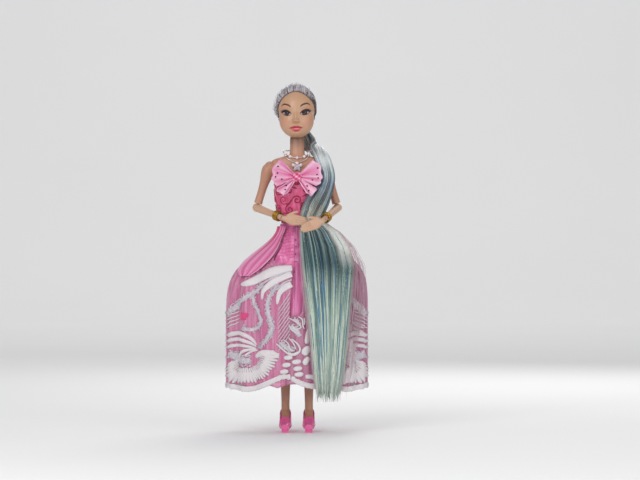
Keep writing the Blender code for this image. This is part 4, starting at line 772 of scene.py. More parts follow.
def build_face():
    """Eyes, lashes, brows and lips, each as its own printed patch, with painted highlights in the eyes and on
    the lower lip.
    """
    high = EYE_HIGH - 0.0005
    for word, side in SIDES:
        def across(out):
            return side * (EYE_OUT + EYE_HALF * out)

        out = np.linspace(-1, 1, 41)
        arch = np.clip(1 - out ** 2, 0, 1)
        tilt = EYE_TILT * out
        upper, lower = high + 0.0010 * arch ** 0.75 + tilt, high - EYE_LOW * arch ** 0.75 + tilt
        smoke = np.linspace(-1.12, 1.40, 61)
        over = hill(smoke, 1.12, 1.40)
        under = high + EYE_TILT * smoke
        print_on(f"shadow_{word}", across(smoke), under, under + 0.0035 * over ** 0.9, smoke_brown, INK)
        print_on(f"lid_{word}", across(smoke * 0.95), under, under + 0.0030 * over ** 0.8, lid_brown,
                 INK * 1.6)
        print_on(f"eye_white_{word}", across(out), lower, upper, eye_white, INK * 2.4)
        for name, radius, finish, lift in (("iris", IRIS, iris_brown, 3.2), ("pupil", PUPIL, pupil_black, 4)):
            ix = -0.0002 + radius * np.linspace(-0.995, 0.995, 25)
            tall = np.sqrt(np.maximum(radius ** 2 - (ix + 0.0002) ** 2, 0))
            top = np.minimum(high + tall, np.interp(ix, EYE_HALF * out, upper))
            low = np.maximum(high - tall, np.interp(ix, EYE_HALF * out, lower) + 0.00008)
            print_on(f"{name}_{word}", side * (EYE_OUT + ix), np.minimum(low, top), top, finish, INK * lift)
        # Two painted highlights in each eye
        for number, (gx, gz, size) in enumerate(((0.0005, 0.00045, 0.00036), (-0.0007, -0.0005, 0.00024))):
            ix = side * EYE_OUT + gx + size * np.linspace(-0.99, 0.99, 11)
            tall = size * np.sqrt(1 - np.linspace(-0.99, 0.99, 11) ** 2)
            print_on(f"glint_{word}_{number}", ix, high + gz - tall, high + gz + tall, eye_painted_highlight, INK * 5, 3)
        reach = np.linspace(-1.10, 1.36, 61)
        over = hill(reach, 1.10, 1.36)
        base = high + EYE_TILT * reach + 0.0008 * np.clip(1 - reach ** 2, 0, 1) ** 0.75
        base = base + 0.0009 * np.clip(np.abs(reach) - 1, 0, 1)
        band = high + EYE_TILT * reach + 0.0026 * over ** 0.62 + 0.0004 * reach * over
        band = np.maximum(band, base + 0.00012)
        print_on(f"lash_{word}", across(reach), base, band, lash_black, LASHES)
        for number, place in enumerate(np.linspace(-0.75, 1.28, 15)):
            root = np.interp(place, reach, band) - 0.0003
            along = np.linspace(0, 1, 6)
            lean = 0.0001 + 0.0008 * place
            wide = 0.00022 * (1 - along) + 0.00002
            lz = root + along * (0.0006 + 0.0004 * (place + 0.6) / 1.8)
            print_on(f"lash_hair_{word}_{number}", across(place) + side * along * lean, lz - wide, lz + wide,
                     lash_black, LASHES, 3)
        under = np.linspace(-1.0, 1.12, 41)
        line = high - EYE_LOW * np.clip(1 - under ** 2, 0, 1) ** 0.75 + EYE_TILT * under
        thin = 0.00014 + 0.00034 * np.clip((under + 0.9) / 2.0, 0, 1)
        print_on(f"lower_lash_{word}", across(under), line - thin, line + 0.00008, lash_black, LASHES)
        brow = np.linspace(0, 1, 41)
        spine = eased(BROW_ROWS, 10)
        wide = 0.00066 * np.clip(brow / 0.06, 0, 1) ** 0.5 * (1 - brow) ** 0.40 + 0.00016
        print_on(f"brow_{word}", side * spine[:, 0], high + spine[:, 1] - wide, high + spine[:, 1] + wide,
                 brow_brown, INK)
    build_lips()


def build_lips():
    """Upper and lower lip, the line between them and a painted highlight on the lower one."""
    across = np.linspace(-1, 1, 61)
    x = 0.0055 * across - 0.0002
    far = np.abs(across)
    mid = MOUTH_HIGH - 0.00025 * far ** 2
    bow = np.clip(1 - far ** 1.5, 0, 1) ** 0.8
    top = mid + 0.00205 * bow - 0.00055 * peak(across, 0, 0.20) + 0.00004
    full = np.clip(1 - (across / 0.84) ** 2, 0, 1)
    low = mid - 0.0030 * full ** 0.85 - 0.00010 * (1 - far)
    print_on("lip_upper", x, mid, top, lip_upper, INK, 7)
    print_on("lip_lower", x, low, mid, lip_lower, INK, 9)
    seam = 0.00012 + 0.00016 * far * (1 - far ** 6)
    print_on("lip_line", x * 1.01, mid - seam, mid + seam * 1.4, lip_line, INK * 2, 3)
    shine = np.linspace(-1, 1, 21)
    centre = MOUTH_HIGH - 0.0007
    tall = 0.00045 * np.sqrt(np.maximum(1 - shine ** 2, 0)) + 0.00001
    print_on("lip_painted_highlight", 0.0017 * shine, centre - tall, centre + tall, lip_painted_highlight, INK * 2, 4)


build_head()
build_face()


# Body, limbs, shoes and jewellery

def dress_nodes(names, finish):
    """Give a finish to solids that show as they are."""
    for name in names:
        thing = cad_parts[name]
        thing.data.materials.clear()
        thing.data.materials.append(finish.material)


def both(*names):
    return [f"{name}_{word}" for name in names for word, _ in SIDES]


SHOULDER_OUT, BALL = 0.0236, 0.0040
UPPER_ARM, FOREARM = 0.0052, 0.0034


def arm_joints(side):
    """Shoulder, elbow and wrist of one arm."""
    inward, drop = (0.0117, 0.0104) if side > 0 else (0.0217, 0.0087)
    shoulder = np.array((side * SHOULDER_OUT, 0.0, SHOULDER))
    elbow = shoulder + np.array((side * 0.0096, 0.0030, -0.0311))
    ahead = math.sqrt(0.0340 ** 2 - inward ** 2 - drop ** 2)
    return shoulder, elbow, elbow + np.array((-side * inward, -ahead, -drop))


def unit(vector):
    vector = np.asarray(vector, float)
    return vector / np.linalg.norm(vector)


def limb_part(start, end, rows, radius, guide):
    """A round limb from rows of place and radius share, closed at both ends."""
    rows = eased(rows, 5)
    along = unit(end - start)
    across = unit(np.cross(guide, along))
    ring = spokes(across, np.cross(along, across), full_turn(36))
    grid = (start + (end - start) * rows[:, 0:1])[:, None] + ring[None] * (radius * rows[:, 1])[:, None, None]
    return closed_loft(grid)


def ball(centre, radius, segments=40):
    turned = Matrix.Translation(centre) @ Matrix.Rotation(0.4, 4, "X")
    return plain_solid(bmesh.ops.create_uvsphere, turned, u_segments=segments, v_segments=segments // 2,
                       radius=radius)


def box(centre, halves):
    """A box from its middle and its three half sides, one in each column."""
    return plain_solid(bmesh.ops.create_cube, Matrix.Translation(centre) @ Matrix(halves).to_4x4(), size=2.0)


UPPER_ARM_ROWS = ((-0.155, 0.22), (-0.135, 0.53), (-0.08, 0.86), (0.0, 1.0), (0.10, 1.0), (0.22, 0.88),
                  (0.34, 0.745), (0.50, 0.66), (0.68, 0.63), (0.84, 0.645), (0.885, 0.66))
FOREARM_ROWS = ((-0.10, 0.20), (-0.085, 0.62), (-0.05, 0.88), (0.0, 1.0), (0.10, 0.98), (0.25, 0.93),
                (0.45, 0.86), (0.70, 0.76), (0.90, 0.68), (0.985, 0.65), (0.99, 0.60))


def build_arm(side, word):
    """Upper arm and forearm with their round ends, cut for the elbow's link."""
    shoulder, elbow, wrist = arm_joints(side)
    down, ahead = unit(elbow - shoulder), unit(wrist - elbow)
    hinge = unit(np.cross(down, ahead))
    shape, node = limb_part(shoulder, elbow, UPPER_ARM_ROWS, UPPER_ARM, BACKWARDS), f"upper_arm_{word}"
    arm = piece(f"upper_arm_skin_{word}", shape, skin_finish, node, (node,))
    cut_out(arm, ball(shoulder, BALL + 0.0003))
    room = 0.0021
    half = (UPPER_ARM + 0.004 + room) / 2
    slot_at = shoulder + np.array((side * (room - half), 0.0, half - room))
    cut_out(arm, box(slot_at, np.diag((half, room, half))))
    shape = limb_part(elbow, wrist, FOREARM_ROWS, FOREARM, hinge)
    arm = piece(f"forearm_skin_{word}", shape, hand_finish, f"forearm_{word}", (f"forearm_{word}",))
    room = FOREARM + 0.0027
    turned = np.stack([hinge * 0.0013, ahead * room, down * room], axis=-1)
    cut_out(arm, box(elbow - (ahead + down) * FOREARM, turned))


def build_rounds(side, word):
    """The rounded top of the shoulder, and the elbow's hinge knob."""
    top, elbow = (side * 0.0220, 0.0003, SHOULDER + 0.0005), arm_joints(side)[1]
    for name, body, centre, halves, finish in (
            ("shoulder_round", "shoulder", top, (0.0056, 0.0052, 0.0064), skin_finish),
            ("elbow_knob", "forearm", elbow, (0.0035, 0.0035, 0.0035), hand_finish)):
        mesh, there = ball(centre, 1.0, 48), Matrix.Translation(centre)
        mesh.transform(there @ Matrix(np.diag(halves)).to_4x4() @ there.inverted())
        mesh.shade_smooth()
        piece(f"{name}_{word}", mesh, finish, f"{body}_{word}", ())


def build_neck():
    """The top of the neck, closing the seam under the jaw."""
    rows = ((0.2340, 0.00585, 0.9), (0.2352, 0.00592, 0.95), (0.2385, 0.0059, 1.0), (0.2410, 0.0057, 1.0),
            (0.2435, 0.0050, 1.0), (0.2450, 0.0044, 1.0))
    grid = np.array([[(r * math.sin(t), NECK_LEAN * lean - r * math.cos(t), z) for t in full_turn(48)]
                     for z, r, lean in eased(rows, 4)])
    piece("neck_top", closed_loft(grid), skin_finish, "torso", ())


# Each row of the palm is how far along, half width and half thickness
PALM_ROWS = ((0.0, 0.48, 1.08), (0.12, 0.48, 1.05), (0.25, 0.56, 1.05), (0.40, 0.74, 1.06),
             (0.62, 0.96, 1.06), (0.85, 1.0, 0.98), (1.0, 0.97, 0.80), (1.05, 0.80, 0.50))
PALM, PALM_HALF, PALM_THICK = 0.0112, 0.0046, 0.0017
FINGER, FINGER_LONG = 0.00116, 0.0118


def build_hand(side, word, along, thumb_up):
    """A moulded hand: palm, four separate fingers with joints, and a thumb."""
    _, elbow, wrist = arm_joints(side)
    ahead, along, thumb_up = unit(wrist - elbow), unit(along), np.asarray(thumb_up, float)
    back = unit(np.cross(along, thumb_up)) * side
    upward = unit(np.cross(back, along)) * side
    rows = eased(PALM_ROWS, 4)
    centre, before, rings = wrist.copy(), 0.0, []
    turn = full_turn(28)
    for place, wide, thick in rows:
        share = min(place / 0.36, 1.0)
        heading = unit(ahead * (1 - share) + along * share)
        centre = centre + heading * ((place - before) * PALM)
        before = place
        out = unit(np.cross(heading, upward))
        across = np.cross(out, heading)
        rings.append(centre + across * (wide * PALM_HALF * np.cos(turn))[:, None]
                     + out * (thick * PALM_THICK * np.sin(turn))[:, None])
    parts = [closed_loft(np.array(rings))]
    start = centre - along * PALM * rows[-1][0]
    spacing = (PALM_HALF - FINGER) * 2 / 3
    shares = np.linspace(0, 1, 22)
    for number, long in enumerate((0.84, 0.97, 1.0, 0.90)):
        height = PALM_HALF - FINGER - spacing * number
        root = start + along * (PALM * 0.80) + upward * height
        path = (root + np.outer(shares, along) * (FINGER_LONG * long + PALM * 0.06)
                - np.outer(0.0013 * shares ** 2, back) + np.outer(-height * 0.35 * shares, upward))
        knuckle = 1.0 + 0.06 * peak(shares, 0.42, 0.06) + 0.05 * peak(shares, 0.72, 0.05)
        taper = np.interp(shares, (0, 0.35, 0.65, 0.86, 0.95, 1.0), (1.02, 1.0, 0.93, 0.82, 0.62, 0.22))
        parts.append(tube_points(path[None], (FINGER * knuckle * taper)[None], 14, 1.0, back))
    root = start + along * (PALM * 0.36) + upward * (PALM_HALF * 0.50)
    lean = unit(along * 0.86 + upward * 0.50)
    path = root + np.outer(shares, lean) * 0.0096 + np.outer(0.0007 * np.sin(shares * math.pi), upward)
    taper = np.interp(shares, (0, 0.3, 0.6, 0.85, 0.95, 1.0), (1.25, 1.15, 1.05, 0.92, 0.7, 0.25)) * 0.00115
    parts.append(tube_points(path[None], taper[None], 14, 1.0, back))
    hand = piece(f"hand_skin_{word}", gathered(parts), hand_finish)
    blend = hand.modifiers.new("skin", "REMESH")
    blend.mode, blend.voxel_size = "VOXEL", 0.00016
    soft = hand.modifiers.new("soft", "SMOOTH")
    soft.factor, soft.iterations = 0.5, 5
    settle(hand)
    hand.data.shade_smooth()
    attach(hand, f"hand_{word}")
    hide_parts(f"hand_{word}")


BANGLE_STEP = 0.0018


def build_bracelet(side, word):
    """A stack of polished bangles with dark grooves between them."""
    _, elbow, wrist = arm_joints(side)
    ahead = unit(wrist - elbow)
    centre = elbow + (wrist - elbow) * 0.80
    across = unit(np.cross(ahead, (0.2, 0.1, 1.0)))
    out = np.cross(ahead, across)
    inner = FOREARM * 0.725 + 0.0003
    turn, section = full_turn(64), full_turn(12)
    parts = []
    for number in (-1, 0, 1):
        middle = centre + ahead * (number * BANGLE_STEP)
        lift = inner + 0.0008 + 0.00068 * np.cos(section)
        beads = 1.0 + (0.018 * np.cos(22 * turn) if number == 0 else 0 * turn)
        radial = spokes(across, out, turn)
        parts.append(closed_ring(middle + radial[:, None] * (lift[None, :] * beads[:, None])[..., None]
                                 + ahead * (0.00080 * np.sin(section))[None, :, None]))
    piece(f"bangles_{word}", gathered(parts), gold_finish, f"forearm_{word}", (f"bracelet_{word}",))


gold_finish = metal("bangle gold", shade(184, 142, 62), shade(76, 52, 14), 0.28)
shoe_finish = paint("shoe pink", shade(226, 96, 156), 0.22, Coat_Weight=0.6)
dress_nodes(["torso_front", "torso_back", "neck_knob"], skin_finish)
dress_nodes(both("shoulder_ball", "elbow_link", "hip_ball", "thigh", "shin"), skin_finish)
dress_nodes(both("shoe"), shoe_finish)
for word, side in SIDES:
    build_arm(side, word)
    build_rounds(side, word)
    build_bracelet(side, word)
build_neck()
build_hand(-1, "right", (0.97, -0.07, -0.13), (0.10, 0.10, 1.0))
build_hand(1, "left", (-0.92, -0.08, -0.38), (-0.30, 0.10, 1.0))


# Hair: a base mass in each part, dark with painted shade between the strands, and combed strands over it

# Height, colour between the strands, colour of the lit strands: the hair's own colours, with painted shade
# between the strands and painted highlights on the lit ones
HAIR_ROWS = ((0.030, 128, 154, 148, 236, 240, 224), (0.070, 118, 150, 144, 232, 240, 222),
             (0.100, 104, 138, 136, 224, 234, 212), (0.120, 66, 98, 102, 202, 218, 198),
             (0.137, 34, 56, 60, 142, 176, 166), (0.155, 46, 66, 72, 164, 196, 192),
             (0.170, 66, 82, 84, 196, 214, 208), (0.178, 84, 86, 74, 208, 206, 190),
             (0.190, 44, 46, 54, 154, 168, 164), (0.200, 42, 46, 66, 138, 160, 172),
             (0.210, 66, 84, 96, 200, 222, 222), (0.222, 92, 100, 104, 232, 238, 238),
             (0.232, 88, 78, 72, 214, 212, 206), (0.245, 78, 64, 60, 202, 196, 196),
             (0.262, 66, 52, 58, 214, 210, 214), (0.285, 58, 46, 54, 236, 230, 234))


def hair_tint(z, share):
    """Colour of a strand at its height, with painted light and shade: share 0 is the painted shade between
    the strands, 1 the brightest painted highlight.
    """
    colours = looked_up(HAIR_ROWS, z)
    dark, lit = np.stack(colours[:3], axis=-1), np.stack(colours[3:], axis=-1)
    return linear(dark + (lit - dark) * np.asarray(share)[..., None])


def toward(colour, share, base):
    """Mix a strand's colour towards another one."""
    return base + (np.array(shade(*colour)) - base) * np.asarray(share)[..., None]


def comb(name, paths, radius, tint, body, blend=None, finish=None, fine=0.25):
    """Four-sided strands along paths, each tapering to its tip."""
    share = np.linspace(0, 1, paths.shape[1])
    taper = np.minimum(1.0, fine + (1 - fine) * np.minimum(share / 0.06, (1 - share) / 0.22))
    shape = tube_points(paths, np.asarray(radius)[:, None] * taper[None], 4)
    tint = np.repeat(tint.reshape(-1, 3), 4, axis=0)
    piece(name, shape, finish or hair_finish, body, (), tint, blend)


def clumped(share):
    """Brighter and darker locks across the hair."""
    wave = np.sin(share * 31.0 + 0.6) + 0.8 * np.sin(share * 53.0 + 2.1) + 0.6 * np.sin(share * 97.0)
    return 0.5 + 0.22 * wave


def on_head(way, grow):
    """Places on the head in directions from its middle."""
    way = units(way)
    rise = np.arcsin(np.clip(way[..., 2], -1, 1))
    around = np.arctan2(way[..., 0], -way[..., 1])
    return carried(head_place(around, rise, grow))


def hairline(around):
    """How high the hair starts on the head, round from the face."""
    around = np.asarray(around, float)
    side, front, back = (math.radians(one) for one in (3, 60, -52))
    ahead = side + (front - side) * np.maximum(np.cos(around), 0) ** 0.75
    share = 0.5 + 0.5 * np.cos(around)
    behind = side + (back - side) * np.clip(1 - 2 * share, 0, 1) ** 0.8
    return np.where(np.abs(around) < math.pi / 2, ahead, behind)


# Where the combed hair is gathered behind the head
NAPE_AROUND, NAPE_RISE = math.pi - 0.10, -0.60


def left_temple(around):
    """1 over the doll's left temple, where the hair lies closest, fading to 0 round it."""
    return peak(around, 1.45, 0.75)


def build_cap():
    """Rooted hair, combed back from the hairline to the nape."""
    columns, rows = 180, 44
    around = np.linspace(-math.pi, math.pi, columns + 1)[:-1]
    edge = hairline(around)
    share = np.linspace(0, 0.995, rows)[:, None]
    rise = edge + (math.pi / 2 - edge) * share
    grow = 0.0002 + 0.0015 * (1 - 0.75 * left_temple(around)) * np.clip(share * 5.0, 0, 1) ** 0.6
    grow = grow + 0.00022 * np.sin(around * 46 + 3 * np.sin(share * 5))
    outer, inner = carried(head_place(around, rise, grow)), carried(head_place(around, rise, 0.00012))
    shape = closed_loft(np.concatenate([inner[::-1], outer]))
    tint = hair_tint(shape[0][:, 2], np.full(len(shape[0]), 0.12))
    piece("hair_roots", shape, hair_finish, "head", ("hair_cap",), tint)
    count, length = 620, 20
    share = np.linspace(0, 1, length)
    start = np.sort(scatter.uniform(-math.pi, math.pi, count))
    inward = scatter.uniform(0, 1, count) ** 1.6 * 0.75
    rise = hairline(start)
    rise = rise + (math.pi / 2 - rise) * inward
    first = way_at(start, rise)
    spread = way_at(NAPE_AROUND + scatter.normal(0, 0.16, count), NAPE_RISE + scatter.normal(0, 0.10, count))
    angle = np.arccos(np.clip(np.sum(first * spread, axis=-1), -1, 1))[:, None, None]
    path = (np.sin((1 - share)[None, :, None] * angle) * first[:, None]
            + np.sin(share[None, :, None] * angle) * spread[:, None]) / np.maximum(np.sin(angle), 1e-3)
    lift = scatter.uniform(0.0011, 0.0021, count)[:, None] * np.minimum(1.0, 0.15 + share[None] * 7.0)
    puff = 0.0007 * peak(share[None], 0.10, 0.07) * (inward[:, None] < 0.08)
    lift = lift * (1 - 0.6 * left_temple(start))[:, None]
    paths = on_head(path, lift + puff)
    glow = np.clip(clumped(start / 3.1) * 1.5 - 0.60 + scatter.normal(0, 0.42, count), 0, 1)[:, None]
    glow = glow * np.ones((1, length))
    # A painted highlight on the strands just behind the front hairline
    painted_hairline_highlight = peak(share[None], 0.12, 0.10) * (np.abs(start)[:, None] < 1.1)
    tint = hair_tint(paths[..., 2], np.clip(glow + painted_hairline_highlight * 0.5, 0, 1))
    # Painted shade, in brown, over the doll's left side of the head
    brown = (np.clip((start[:, None] - 0.95) / 0.25, 0, 1) * np.clip((2.3 - start[:, None]) / 0.3, 0, 1)
             * np.ones((1, length)))
    tint = toward((104, 78, 64), brown * 0.65, tint)
    comb("hair_combed_back", paths, scatter.uniform(0.00016, 0.00030, count), tint, "head")
    build_spikes()


def build_spikes():
    """Short ends that stand up round the front hairline."""
    count, length = 250, 9
    start = scatter.uniform(-1.75, 1.10, count)
    rise = hairline(start) + scatter.uniform(-0.02, 0.06, count)
    share = np.linspace(0, 1, length)
    lean = scatter.normal(0, 0.10, count)
    around = start[:, None] * (1 + share[None] * 0.10) + lean[:, None] * share[None]
    up = rise[:, None] + share[None] * scatter.uniform(0.10, 0.34, count)[:, None]
    tall = scatter.uniform(0.0012, 0.0042, count)[:, None] * np.sin(share * 1.8)[None]
    paths = carried(head_place(around, up, 0.0006 + tall))
    glow = np.clip(scatter.normal(0.85, 0.2, count), 0, 1)[:, None] * np.ones((1, length))
    tint = hair_tint(paths[..., 2], glow)
    comb("hair_spikes", paths, scatter.uniform(0.00013, 0.00024, count), tint, "head")


# The sweep's rows: right, back, up, half width and thickness, as the solid has them
SWEEP_ROWS = ((0.06, 0.80, 1.080, 0.28, 1.3), (0.35, 0.70, 0.965, 0.27, 1.9), (0.59, 0.49, 0.875, 0.26, 2.1),
              (0.74, 0.155, 0.832, 0.25, 1.9), (0.86, -0.22, 0.768, 0.235, 1.35),
              (1.00, -0.47, 0.640, 0.23, 0.95), (1.05, -0.56, 0.515, 0.24, 0.95),
              (0.96, -0.630, 0.395, 0.275, 0.92), (0.76, -0.620, 0.262, 0.36, 0.95),
              (0.59, -0.565, 0.142, 0.375, 0.95), (0.50, -0.570, 0.050, 0.37, 0.95),
              (0.57, -0.580, -0.020, 0.44, 0.95))
SWEEP_HIGH, SWEEP_THICK = 0.0675, 0.0021
SWEEP_BEND = ("torso", "neck", (0.016, 0.004, 0.235), (0.002, 0.019, 0.252))


def build_sweep():
    """The hair from the nape over the doll's left shoulder."""
    rows = eased(SWEEP_ROWS, 7)
    right, back, up = rows[:, :3].T
    centre = np.stack([right * SHOULDER_OUT, back * SHOULDER_OUT, WAIST + up * SWEEP_HIGH], axis=-1)
    along = units(np.gradient(centre, axis=0))
    turn = math.pi * np.clip((np.linspace(0, 1, len(rows)) - 0.05) / 0.42, 0, 1)
    guide = np.stack([0 * turn, np.cos(turn), 0.9 * np.sin(turn)], axis=-1)
    across = units(np.cross(guide, along))
    out = np.cross(along, across)
    half, thick = rows[:, 3:4] * SHOULDER_OUT, rows[:, 4:5] * SWEEP_THICK

    def ring(angle, lift):
        """Places round the hair at each row; the angle is one number or one for each row."""
        cos, sin = np.cos(angle)[..., None], np.sin(angle)[..., None]
        return centre + across * half * cos * lift + out * thick * sin * lift

    around = np.linspace(0, 2 * math.pi, 45)[:-1]
    grid = np.stack([ring(np.full(len(rows), a), 0.93 + 0.04 * math.sin(a * 11)) for a in around], axis=1)
    shape = closed_loft(grid)
    tint = hair_tint(shape[0][:, 2], 0.12 + 0.2 * clumped(shape[0][:, 0] * 30))
    piece("hair_sweep_mass", shape, hair_finish, None, ("hair_sweep",), tint, SWEEP_BEND)
    count = 460
    start = scatter.uniform(0, 2 * math.pi, count)
    start[: count * 2 // 3] = scatter.uniform(0.1, math.pi - 0.1, count * 2 // 3)
    paths, share = [], np.linspace(0, 1, len(rows))
    for angle in start:
        drift = chance.uniform(-0.35, 0.35) * np.sin(share * chance.uniform(2, 6) + chance.uniform(0, 6))
        paths.append(ring(angle + drift * 0.6, chance.uniform(0.94, 1.07)))
    paths = np.array(paths)
    glow = clumped(start / 4.1)[:, None] * 1.6 - 0.3 + scatter.normal(0, 0.34, (count, 1))
    glow = np.clip(glow + 0.30 * np.sin(share[None] * 9 + 17 * start[:, None]), 0, 1)
    tint = hair_tint(paths[..., 2], glow)
    # Painted shade on one side of the sweep lower down, and a painted highlight along its top over the
    # shoulder
    dim = np.clip((np.cos(start) * -1)[:, None] - 0.35, 0, 1) * peak(paths[..., 2], 0.203, 0.012)
    tint = toward((92, 96, 124), np.clip(dim * 1.8, 0, 0.85), tint)
    lit = peak(paths[..., 2], 0.2225, 0.0075) * np.clip(np.sin(start) * 1.5, 0, 1)[:, None]
    tint = toward((238, 246, 246), lit * 0.8, tint)
    comb("hair_sweep_strands", paths, scatter.uniform(0.00022, 0.00040, count), tint, None, SWEEP_BEND,
         fine=0.6)
    shiny = 26
    some = scatter.choice(count, shiny, replace=False)
    blue = np.broadcast_to(np.array(shade(92, 178, 214)), paths[some].shape)
    lifted = centre + (paths[some] - centre) * 1.05
    comb("hair_sweep_tinsel", lifted, np.full(shiny, 0.00017), blue, None, SWEEP_BEND, tinsel_finish, 0.6)


# How far down the length, its edges across as shares of the skirt's half width, and its thickness share
FALL_ROWS = ((0.0, 0.035, 0.42, 1.0), (0.055, 0.045, 0.60, 1.02), (0.14, 0.055, 0.75, 1.0),
             (0.25, 0.084, 0.82, 0.95), (0.39, 0.13, 0.79, 0.88), (0.53, 0.18, 0.755, 0.82),
             (0.71, 0.22, 0.71, 0.80), (0.86, 0.25, 0.67, 0.76), (1.0, 0.29, 0.61, 0.42))
FALL_TOP, FALL_LONG, FALL_THICK, FALL_HANG = 0.17085, 0.140, 0.0037, 0.0107
# Places from the torso to a hip, given as a blend to the skirt and the length, which are only fixed in place
BEND_FROM, BEND_TO = (0, -0.010, 0.168), (0, -0.0664, 0.1475)
LEFT_BEND, RIGHT_BEND = (("torso", f"hip_{word}", BEND_FROM, BEND_TO) for word, _ in SIDES)


def fall_place(down, across, depth):
    """Places in the hair's length: down from its top, across from its left edge, depth out of the skirt."""
    left, right, thick = looked_up(FALL_ROWS, down)
    x = (left + (right - left) * across) * SKIRT_HALF
    z = FALL_TOP - down * FALL_LONG
    deep = (front_deep(x, z, 0.0027) ** 6 + FALL_HANG ** 6) ** (1 / 6)
    round_edge = np.sqrt(np.clip(1 - (2 * across - 1) ** 2, 0, 1)) * 0.8 + 0.2
    return np.stack([x, -deep - FALL_THICK * thick * round_edge * depth, z], axis=-1)


def fall_tint(place, across, glow):
    """Colour of the length, with its dark patch, its white band and its faded edges."""
    tint = hair_tint(place[..., 2], glow)
    high = np.clip((place[..., 2] - 0.132) / 0.015, 0, 1)
    dark = swell(across, place[..., 2], 0.50, 0.138, 0.24, 0.014)
    tint = toward((34, 62, 76), dark * 0.6, tint)
    tint = toward((238, 238, 230), np.clip((across - 0.70) / 0.10, 0, 1) * high * 0.9, tint)
    edge = np.clip((0.05 - across) / 0.05, 0, 1) + np.clip((across - 0.95) / 0.05, 0, 1)
    return toward((186, 166, 166), np.clip(edge, 0, 1) * 0.6, tint)


def build_fall():
    """The hair's length down the front of the skirt."""
    down, across = np.meshgrid(np.linspace(0, 0.985, 60), np.linspace(0.012, 0.988, 46), indexing="ij")
    wave = 0.08 * np.sin(across * 60 + 2 * down) + 0.05 * np.sin(across * 97 + 5 * down)
    grid = fall_place(down, across, 0.74 + wave)
    thick = 0.0022 - 0.0012 * down
    glow = 0.10 + 0.25 * np.clip(clumped(across), 0, 1)
    tint = np.tile(fall_tint(grid, across, glow).reshape(-1, 3), (2, 1))
    piece("hair_fall_mass", shell(grid, thick, FORWARDS), hair_finish, None, ("hair_fall",), tint,
          LEFT_BEND)
    count, length = 640, 36
    share = np.linspace(0, 1, length)
    start = np.sort(scatter.uniform(0.0, 1.0, count))
    long = np.clip(scatter.normal(0.985, 0.028, count), 0.88, 1.035)
    down = share[None] * long[:, None]
    drift = scatter.normal(0, 0.035, count)[:, None] * share[None] ** 1.3
    sway = 0.010 * np.sin(share[None] * scatter.uniform(3, 9, count)[:, None]
                          + scatter.uniform(0, 6, count)[:, None])
    across = np.clip(start[:, None] + drift + sway, -0.03, 1.03)
    paths = fall_place(down, across, scatter.uniform(0.70, 1.04, count)[:, None])
    glow = clumped(start)[:, None] * 1.5 - 0.25 + scatter.normal(0, 0.34, (count, 1))
    glow = np.clip(glow + 0.25 * np.sin(share[None] * 8 + 40 * start[:, None]), 0, 1)
    tint = fall_tint(paths, across, glow)
    comb("hair_fall_strands", paths, scatter.uniform(0.00022, 0.00044, count), tint, None, LEFT_BEND)
    shiny, steps = 30, 18
    some = scatter.choice(count, shiny, replace=False)
    shine = np.clip((paths[some][..., 2] - 0.02) / 0.02, 0, 1)[..., None]
    blue = np.array(shade(60, 140, 196)) * shine + np.array(shade(120, 178, 200)) * (1 - shine)
    begin = scatter.integers(0, steps, shiny)[:, None] + np.arange(steps)[None]
    lifted = paths[some[:, None], begin] + np.array((0.0002, -0.0003, 0))
    blue = blue[np.arange(shiny)[:, None], begin]
    radius = scatter.uniform(0.00018, 0.00034, shiny)
    comb("hair_fall_tinsel", lifted, radius, blue, None, LEFT_BEND, tinsel_finish)
    build_wisps()


def build_wisps():
    """Loose thin hairs beside the length, on both sides."""
    count, length = 64, 30
    share = np.linspace(0, 1, length)
    left = np.arange(count) < 26
    out = scatter.uniform(0.02, 1.0, count)
    reach = np.where(left, -0.10 * out, 1.0 + 0.34 * out ** 1.4)
    begin = np.where(left, scatter.uniform(0.0, 0.10, count), scatter.uniform(0.86, 1.0, count))
    spread = np.sin(np.clip(share * 1.5, 0, 1) * math.pi / 2)
    across = begin[:, None] + (reach - begin)[:, None] * spread[None]
    across = across + 0.012 * np.sin(share[None] * 7 + scatter.uniform(0, 6, count)[:, None])
    down = share[None] * scatter.uniform(0.72, 1.04, count)[:, None]
    paths = fall_place(down, np.clip(across, -0.25, 1.4), 0.55)
    tint = toward((190, 150, 166), np.full(across.shape, 0.75),
                  fall_tint(paths, np.clip(across, 0, 1), np.full(across.shape, 0.7)))
    comb("hair_wisps", paths, scatter.uniform(0.00009, 0.00016, count), tint, None, LEFT_BEND)


build_cap()
build_sweep()
build_fall()


# Gown: every sheet is closed, thin cloth

def arc(grid, axis):
    """The longest line across or down a grid of points."""
    return float(np.linalg.norm(np.diff(grid, axis=axis), axis=-1).sum(axis=axis).max())


# The least width or length that a cut is given, and the least share of its box that its shape fills
NARROWEST, LEAST_SHARE = 0.0102, 0.31


def cloth(name, grid, thick, finish, replaces, blend=None, outward=FORWARDS, tint=None):
    """A sheet of cloth. Its cut, the longest line across by the longest line down, and its area are worked
    out but not used.
    """
    tint = None if tint is None else np.tile(tint.reshape(-1, 3), (2, 1))
    shape = shell(grid, thick, np.array(outward, float))
    thing = piece(name, shape, finish, "torso", replaces, tint, blend)
    cut = (max(arc(grid, 1), NARROWEST), max(arc(grid, 0), NARROWEST))
    first, second = grid[1:, 1:] - grid[:-1, :-1], grid[1:, :-1] - grid[:-1, 1:]
    area = np.linalg.norm(np.cross(first, second), axis=-1).sum() / 2
    area = float(np.clip(area, cut[0] * cut[1] * LEAST_SHARE, cut[0] * cut[1]))


def out_of(grid):
    """Directions away from the doll's axis."""
    return grid * np.array((1.0, 1.0, 0.0))


